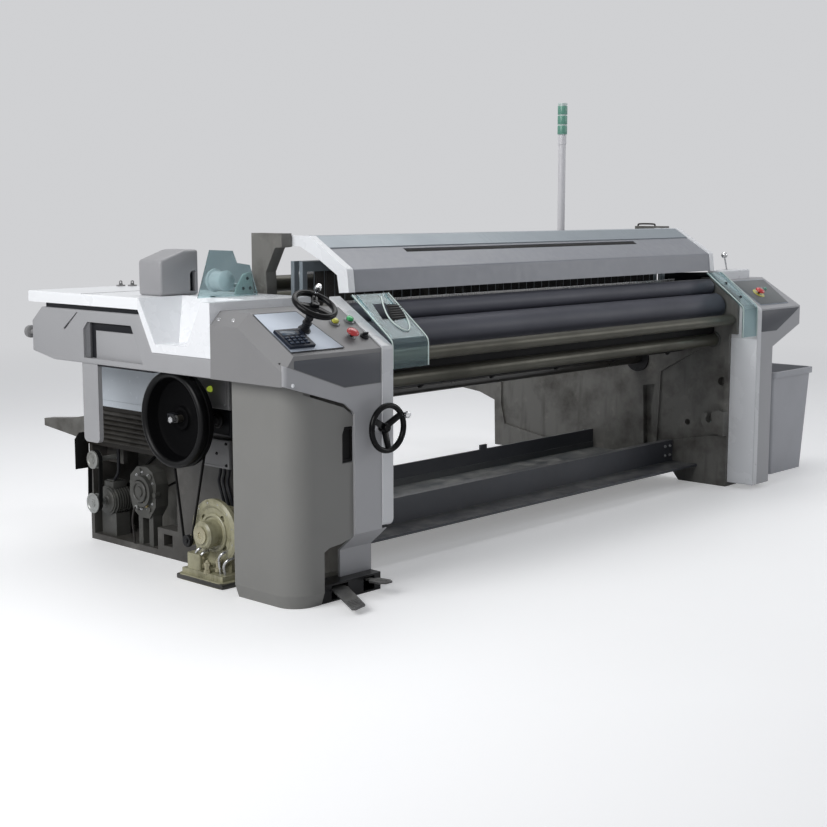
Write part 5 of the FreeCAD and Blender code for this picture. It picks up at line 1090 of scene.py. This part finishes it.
def on_guard(piece):
    """Turn a piece that was drawn flat onto the front slope of the guards."""
    place_again(piece, guard_foot, guard_up)


front_plate([(-1425, 110), (-1376, 212), (-1298, 206), (-1329, 119)], 0, 3, 0.8)
vent = settle("guard_vent", "belt_rubber", "machine", "black_plastic")
vent.data.transform(drawn_turn(-math.pi / 2, "X"))       # it was drawn upright, and the others lie flat
on_guard(vent)
block((-1412, 121, 2.5), (-1330, 126, 5.5), 1)
slats = settle("guard_vent_slats", "black_iron", "machine", "black_iron")
repeat(slats, [(6.6 * k, 14.5 * k, 0) for k in range(1, 6)])
on_guard(slats)
# A pale curved pipe round the vent stands for a curved highlight on the clear guard: a painted highlight shaped as a
# rib.
on_guard(pipe("guard_highlight_rib", [(-1366, 262, 2), (-1419, 176, 2), (-1436, 90, 2), (-1397, 30, 2), (-1353, 56, 2),
                            (-1314, 141, 2), (-1308, 206, 2)], 3.5, "pole_pale", "machine", "pole_pale"))
for number, x in enumerate((-1523, -1303, 1299, 1450)):
    pipe("guard_edge_%d" % number, [(x, -762, 1240), (x, -880, 1150), (x, -986, 1069), (x, -1001, 1050),
                                    (x, -1001, 1000), (x, -1001, 942 if x < 0 else 888)], 3, "pole_pale", "machine",
         "pole_pale")
screws("guard_knobs", [(1374, -838.6, 1180), (1374, -934, 1107)], guard_up, "black_plastic", "machine",
       "black_plastic", 9, 8)

# %% [markdown]
# The right console has a dark plate on its front and one on its slope, a yellow ring under the
# stop button and two small lights. On the left console two bright screws hold the corner, the
# leg cover has a dark pocket to lift it by, and the pump stands in a black oil tray.

# %% Right console and the last of the left one
front_plate([(1495, 1026), (1930, 1026), (1868, 993), (1672, 904), (1500, 905)], console_front, 1.6)
settle("right_front_plate", "cover_dark", "machine", "cover_grey")
slope_plate([(1544, 38), (1848, 38), (1906, 268), (1563, 274)], 3.4, 1.0, 0.4)
on_panel(settle("right_plate_face", "plate_dark", "machine", "cover_grey"))
turned((1665, 142, 0), (0, 0, 1), [(38, 4.2), (38, 5.4), (37, 6), (24, 6), (22, 5.6)], 40)
on_panel(settle("right_stop_ring", "yellow_plastic", "machine", "yellow_plastic"))
turned((1742, 176, 0), (0, 0, 1), [(10, 4.2), (10, 8), (8, 9), (8, 12), (5, 15)], 24)
light = on_panel(settle("right_lights", "lens_green", "machine", "green_plastic"))
repeat(light, [(46, 0, 0)])
screws("console_corner_screws", [(-2112.5, -588, 1160.5), (-2112.5, -679, 1160.5)], (-1, 0, 1), "chrome_knob",
       "machine", "bright_steel", 8, 6)
screws("console_foot_screw", [(-2088, -1001, 922)], (0, -1, 0), "trim_white", "machine", "trim_white", 8, 6)
block((-1805, -984, 578), (-1744, -972, 722), 5)
lid((0, -1, 0), 6, -7)
settle("leg_pocket", "belt_rubber", "machine", "black_plastic")
block((-2047, -497, 0.2), (-1846, -184, 24), 6)
lid((0, 0, 1), 8, -3, 0.9)
settle("pump_base_tray", "oil_and_shade_black", "machine", "black_iron")

# %% [markdown]
# Inside, hundreds of thin healds hang in each frame. One wire with an eye is turned with four
# sides, and an Array modifier repeats it along the frame. Each set rides on its own frame.

# %% Healds
heald_count, heald_pitch = 900, 0.003
for name, y, body in (("healds_a", -400, "heald_a"), ("healds_b", -345, "heald_b")):
    turned((-1402, y, 1157), (0, 0, 1), [(1.2, -171), (1.2, -8), (2.4, -4), (2.4, 4), (1.2, 8), (1.2, 171)], 4)
    wires = solid()
    row = wires.modifiers.new("row", "ARRAY")
    row.count = heald_count
    row.use_relative_offset = False
    row.use_constant_offset = True
    row.constant_offset_displace = (heald_pitch, 0, 0)
    bpy.ops.object.modifier_apply(modifier=row.name)
    settle(name, "dark_steel", body, "dark_steel")
print("healds per frame:", heald_count)

# %% [markdown]
# The hood has a black seal in the recess of its slope. The signal tower is a white tube with
# three green lenses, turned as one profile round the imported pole. Bearing caps close the
# frames' outer faces where the shaft and the back rest run.

# %% Hood seal, tower lenses and bearing caps
hood_lean = math.radians(30.9)
hood_up = (0, -math.sin(hood_lean), math.cos(hood_lean))
hood_recess = (0, -587.4, 1411.7)        # the middle of the recess in the hood's slope
block((-1012, -12, 0), (825, 12, 4.2), 1.2)
seal = settle("hood_seal", "belt_rubber", "hood", "black_plastic")
place_again(seal, hood_recess, hood_up)
tower_line = (750, -138)         # x, y of the signal tower's pole
turned((*tower_line, 2012), (0, 0, 1), [(26.4, 0), (27, 2), (27, 44), (26.4, 46), (20, 46)], 40)
lens = settle("tower_lenses", "lens_green", "machine", "green_plastic")
repeat(lens, [(0, 0, 54), (0, 0, 108)])
turned((*tower_line, 1284.3), (0, 0, 1), [(24, 0), (24, 8), (20.5, 11), (20.5, 668), (23, 670), (23, 721), (20, 725),
                                        (11, 725)], 40)
settle("tower_tube", "pole_white", "machine", "pole_pale")
right = (1, 0, 0)
for name, spot, way, radius in (("shaft_cap", (frame_right, *shaft_line), right, 60),
                                ("rest_cap_right", (frame_right, *rest_line), right, 52),
                                ("rest_cap_left", (frame_left, *rest_line), left, 52)):
    turned(spot, way, [(radius, 0.3), (radius, 9), (radius - 4, 13), (40, 13), (38, 24), (34, 28), (6, 28)], 48)
    settle(name, "black_iron", "machine", "black_iron")
    on_face = (spot[0] + way[0] * 12.5, spot[1], spot[2])
    screws(name + "_screws", ring_places(on_face, radius - 9, radius - 9, 45, 90, 4), way, "bright_steel", "machine",
           "bright_steel", 5.5, 5)

# %% [markdown]
# The castings are bolted to the cross beams, a dark splash sheet closes the right frame's holes
# from outside, and a lifting bow stands on the right horn. A thin dark sheet, painted shade, fills
# the gap between the guide roller and the breast tube, a black box and cover hold the selvage yarns
# at the hood's right end, a whiter liner on the right post's side is painted light, a ring ends the
# breast tube and a rubber flap hangs beside the let-off belt. Ribs on the pedals stop a foot from
# slipping.

# %% Frame fittings and pedals
screws("front_beam_bolts", [(x, -475, z) for x in (-1490, -1440, 1350, 1400) for z in (150, 205)], (0, -1, 0),
       "bright_steel", "machine", "bright_steel", 9, 8)
screws("rear_beam_bolts", [(x, 120, z) for x in (-1490, -1440, 1350, 1400) for z in (160, 235)], (0, 1, 0),
       "bright_steel", "machine", "bright_steel", 9, 8)
side_plate([(-858, 305), (-858, 660), (-830, 690), (-540, 690), (-500, 640), (-500, 305)], 1493.4, 3, 1)
settle("splash_sheet", "bay_shaded_grey", "machine", "dark_steel")
# A dark sheet between the guide roller and the breast tube: painted shade in that gap.
outline([(-1514.5, y, z) for y, z in ((-738, 886.5), (-734, 885.5), (-734, 958), (-716, 964), (-716, 967),
                                      (-737, 963))], 2944, (1, 0, 0), 0.8)
settle("cloth_gap_shade_sheet", "belt_rubber", "machine", "dark_steel")
# A whiter liner on the right post's side face is painted light: it makes the face as bright as the light that falls
# there.
side_plate([(-1002, 30), (-838, 30), (-838, 866), (-1002, 866)], 1451.8, 0.9, 0.4)
settle("right_post_lit_liner", "trim_white", "machine", "trim_white")
block((1312, -328, 1140), (1443.4, -270, 1226), 5)
lid((0, -1, 0), 9, -3)
settle("selvage_box", "black_iron", "machine", "black_iron")
side_plate([(-688, 1204.5), (-688, 1236), (-330, 1222), (-330, 1131), (-584, 1131), (-636, 1204.5)], 1486, 38, 3)
settle("selvage_cover", "black_iron", "machine", "black_iron")
turned((1443.5, -735, 852), (-1, 0, 0), [(47, 0), (47, 22), (44, 25), (35.5, 25)], 40)
settle("breast_tube_ring", "gear_iron", "machine", "frame_grey")
pipe("lifting_bow", [(1467, -290, 1492), (1467, -290, 1503), (1467, -284, 1509), (1467, -176, 1509),
                     (1467, -170, 1503), (1467, -170, 1492)], 5, "dark_steel", "machine", "dark_steel")
block((-1936, -1182, 31.4), (-1878, -1178, 34.6), 0.8, 1)
tread = settle("left_pedal_ribs", "pedal_steel", "left_foot_pedal", "pedal_steel")
repeat(tread, [(6.6 * k, 14 * k, 1.18 * k) for k in range(1, 6)])
block((-1652, -1076, 65.2), (-1622, -1072, 68.0), 0.8, 1)
tread = settle("right_pedal_ribs", "pedal_steel", "right_foot_pedal", "pedal_steel")
repeat(tread, [(0, 13 * k, -0.9 * k) for k in range(1, 5)])
front_plate([(-1925, 352), (-1846, 352), (-1846, 530), (-1900, 530), (-1925, 500)], 746, 4)
settle("belt_flap", "belt_rubber", "machine", "belt_rubber")

# %% [markdown]
# The floor is only a stage: a plain pale plane that catches the loom's shadow. Far from the
# loom it fades into the backdrop, and near it a weak glow makes it as pale as in the picture.
# Only the camera sees either, so neither lights the loom.

# %% Floor
fade_from, fade_to = 3.5, 10.0       # metres from the middle of the loom
begin()
bpy.ops.mesh.primitive_plane_add(size=80, location=(0, 0, 0))
floor = bpy.context.object
floor.name = "floor"
bpy.ops.object.mode_set(mode="EDIT")
bpy.ops.mesh.subdivide(number_cuts=7)
bpy.ops.object.mode_set(mode="OBJECT")
floor.data.materials.append(finishes["floor_paint"])
floor_tree = finishes["floor_paint"].node_tree
apart = node(floor_tree, "ShaderNodeVectorMath", {"operation": "LENGTH"},
             i0=node(floor_tree, "ShaderNodeTexCoord").outputs["Object"]).outputs["Value"]
fade = maths(floor_tree, "MULTIPLY", ramp(floor_tree, apart, fade_from, fade_to),
             node(floor_tree, "ShaderNodeLightPath").outputs["Is Camera Ray"])
far = node(floor_tree, "ShaderNodeEmission", Color=backdrop, Strength=1.0)
skin = floor_tree.nodes["Principled BSDF"]
mixed = node(floor_tree, "ShaderNodeMixShader", Fac=fade, i1=skin.outputs[0], i2=far.outputs[0])
lifted = maths(floor_tree, "MULTIPLY", node(floor_tree, "ShaderNodeLightPath").outputs["Is Camera Ray"], 0.25)
skin.inputs["Emission Color"].default_value = (1, 1, 1, 1)
floor_tree.links.new(lifted, skin.inputs["Emission Strength"])
floor_tree.links.new(mixed.outputs[0], floor_tree.nodes["Material Output"].inputs["Surface"])
print("floor faces:", len(floor.data.polygons))
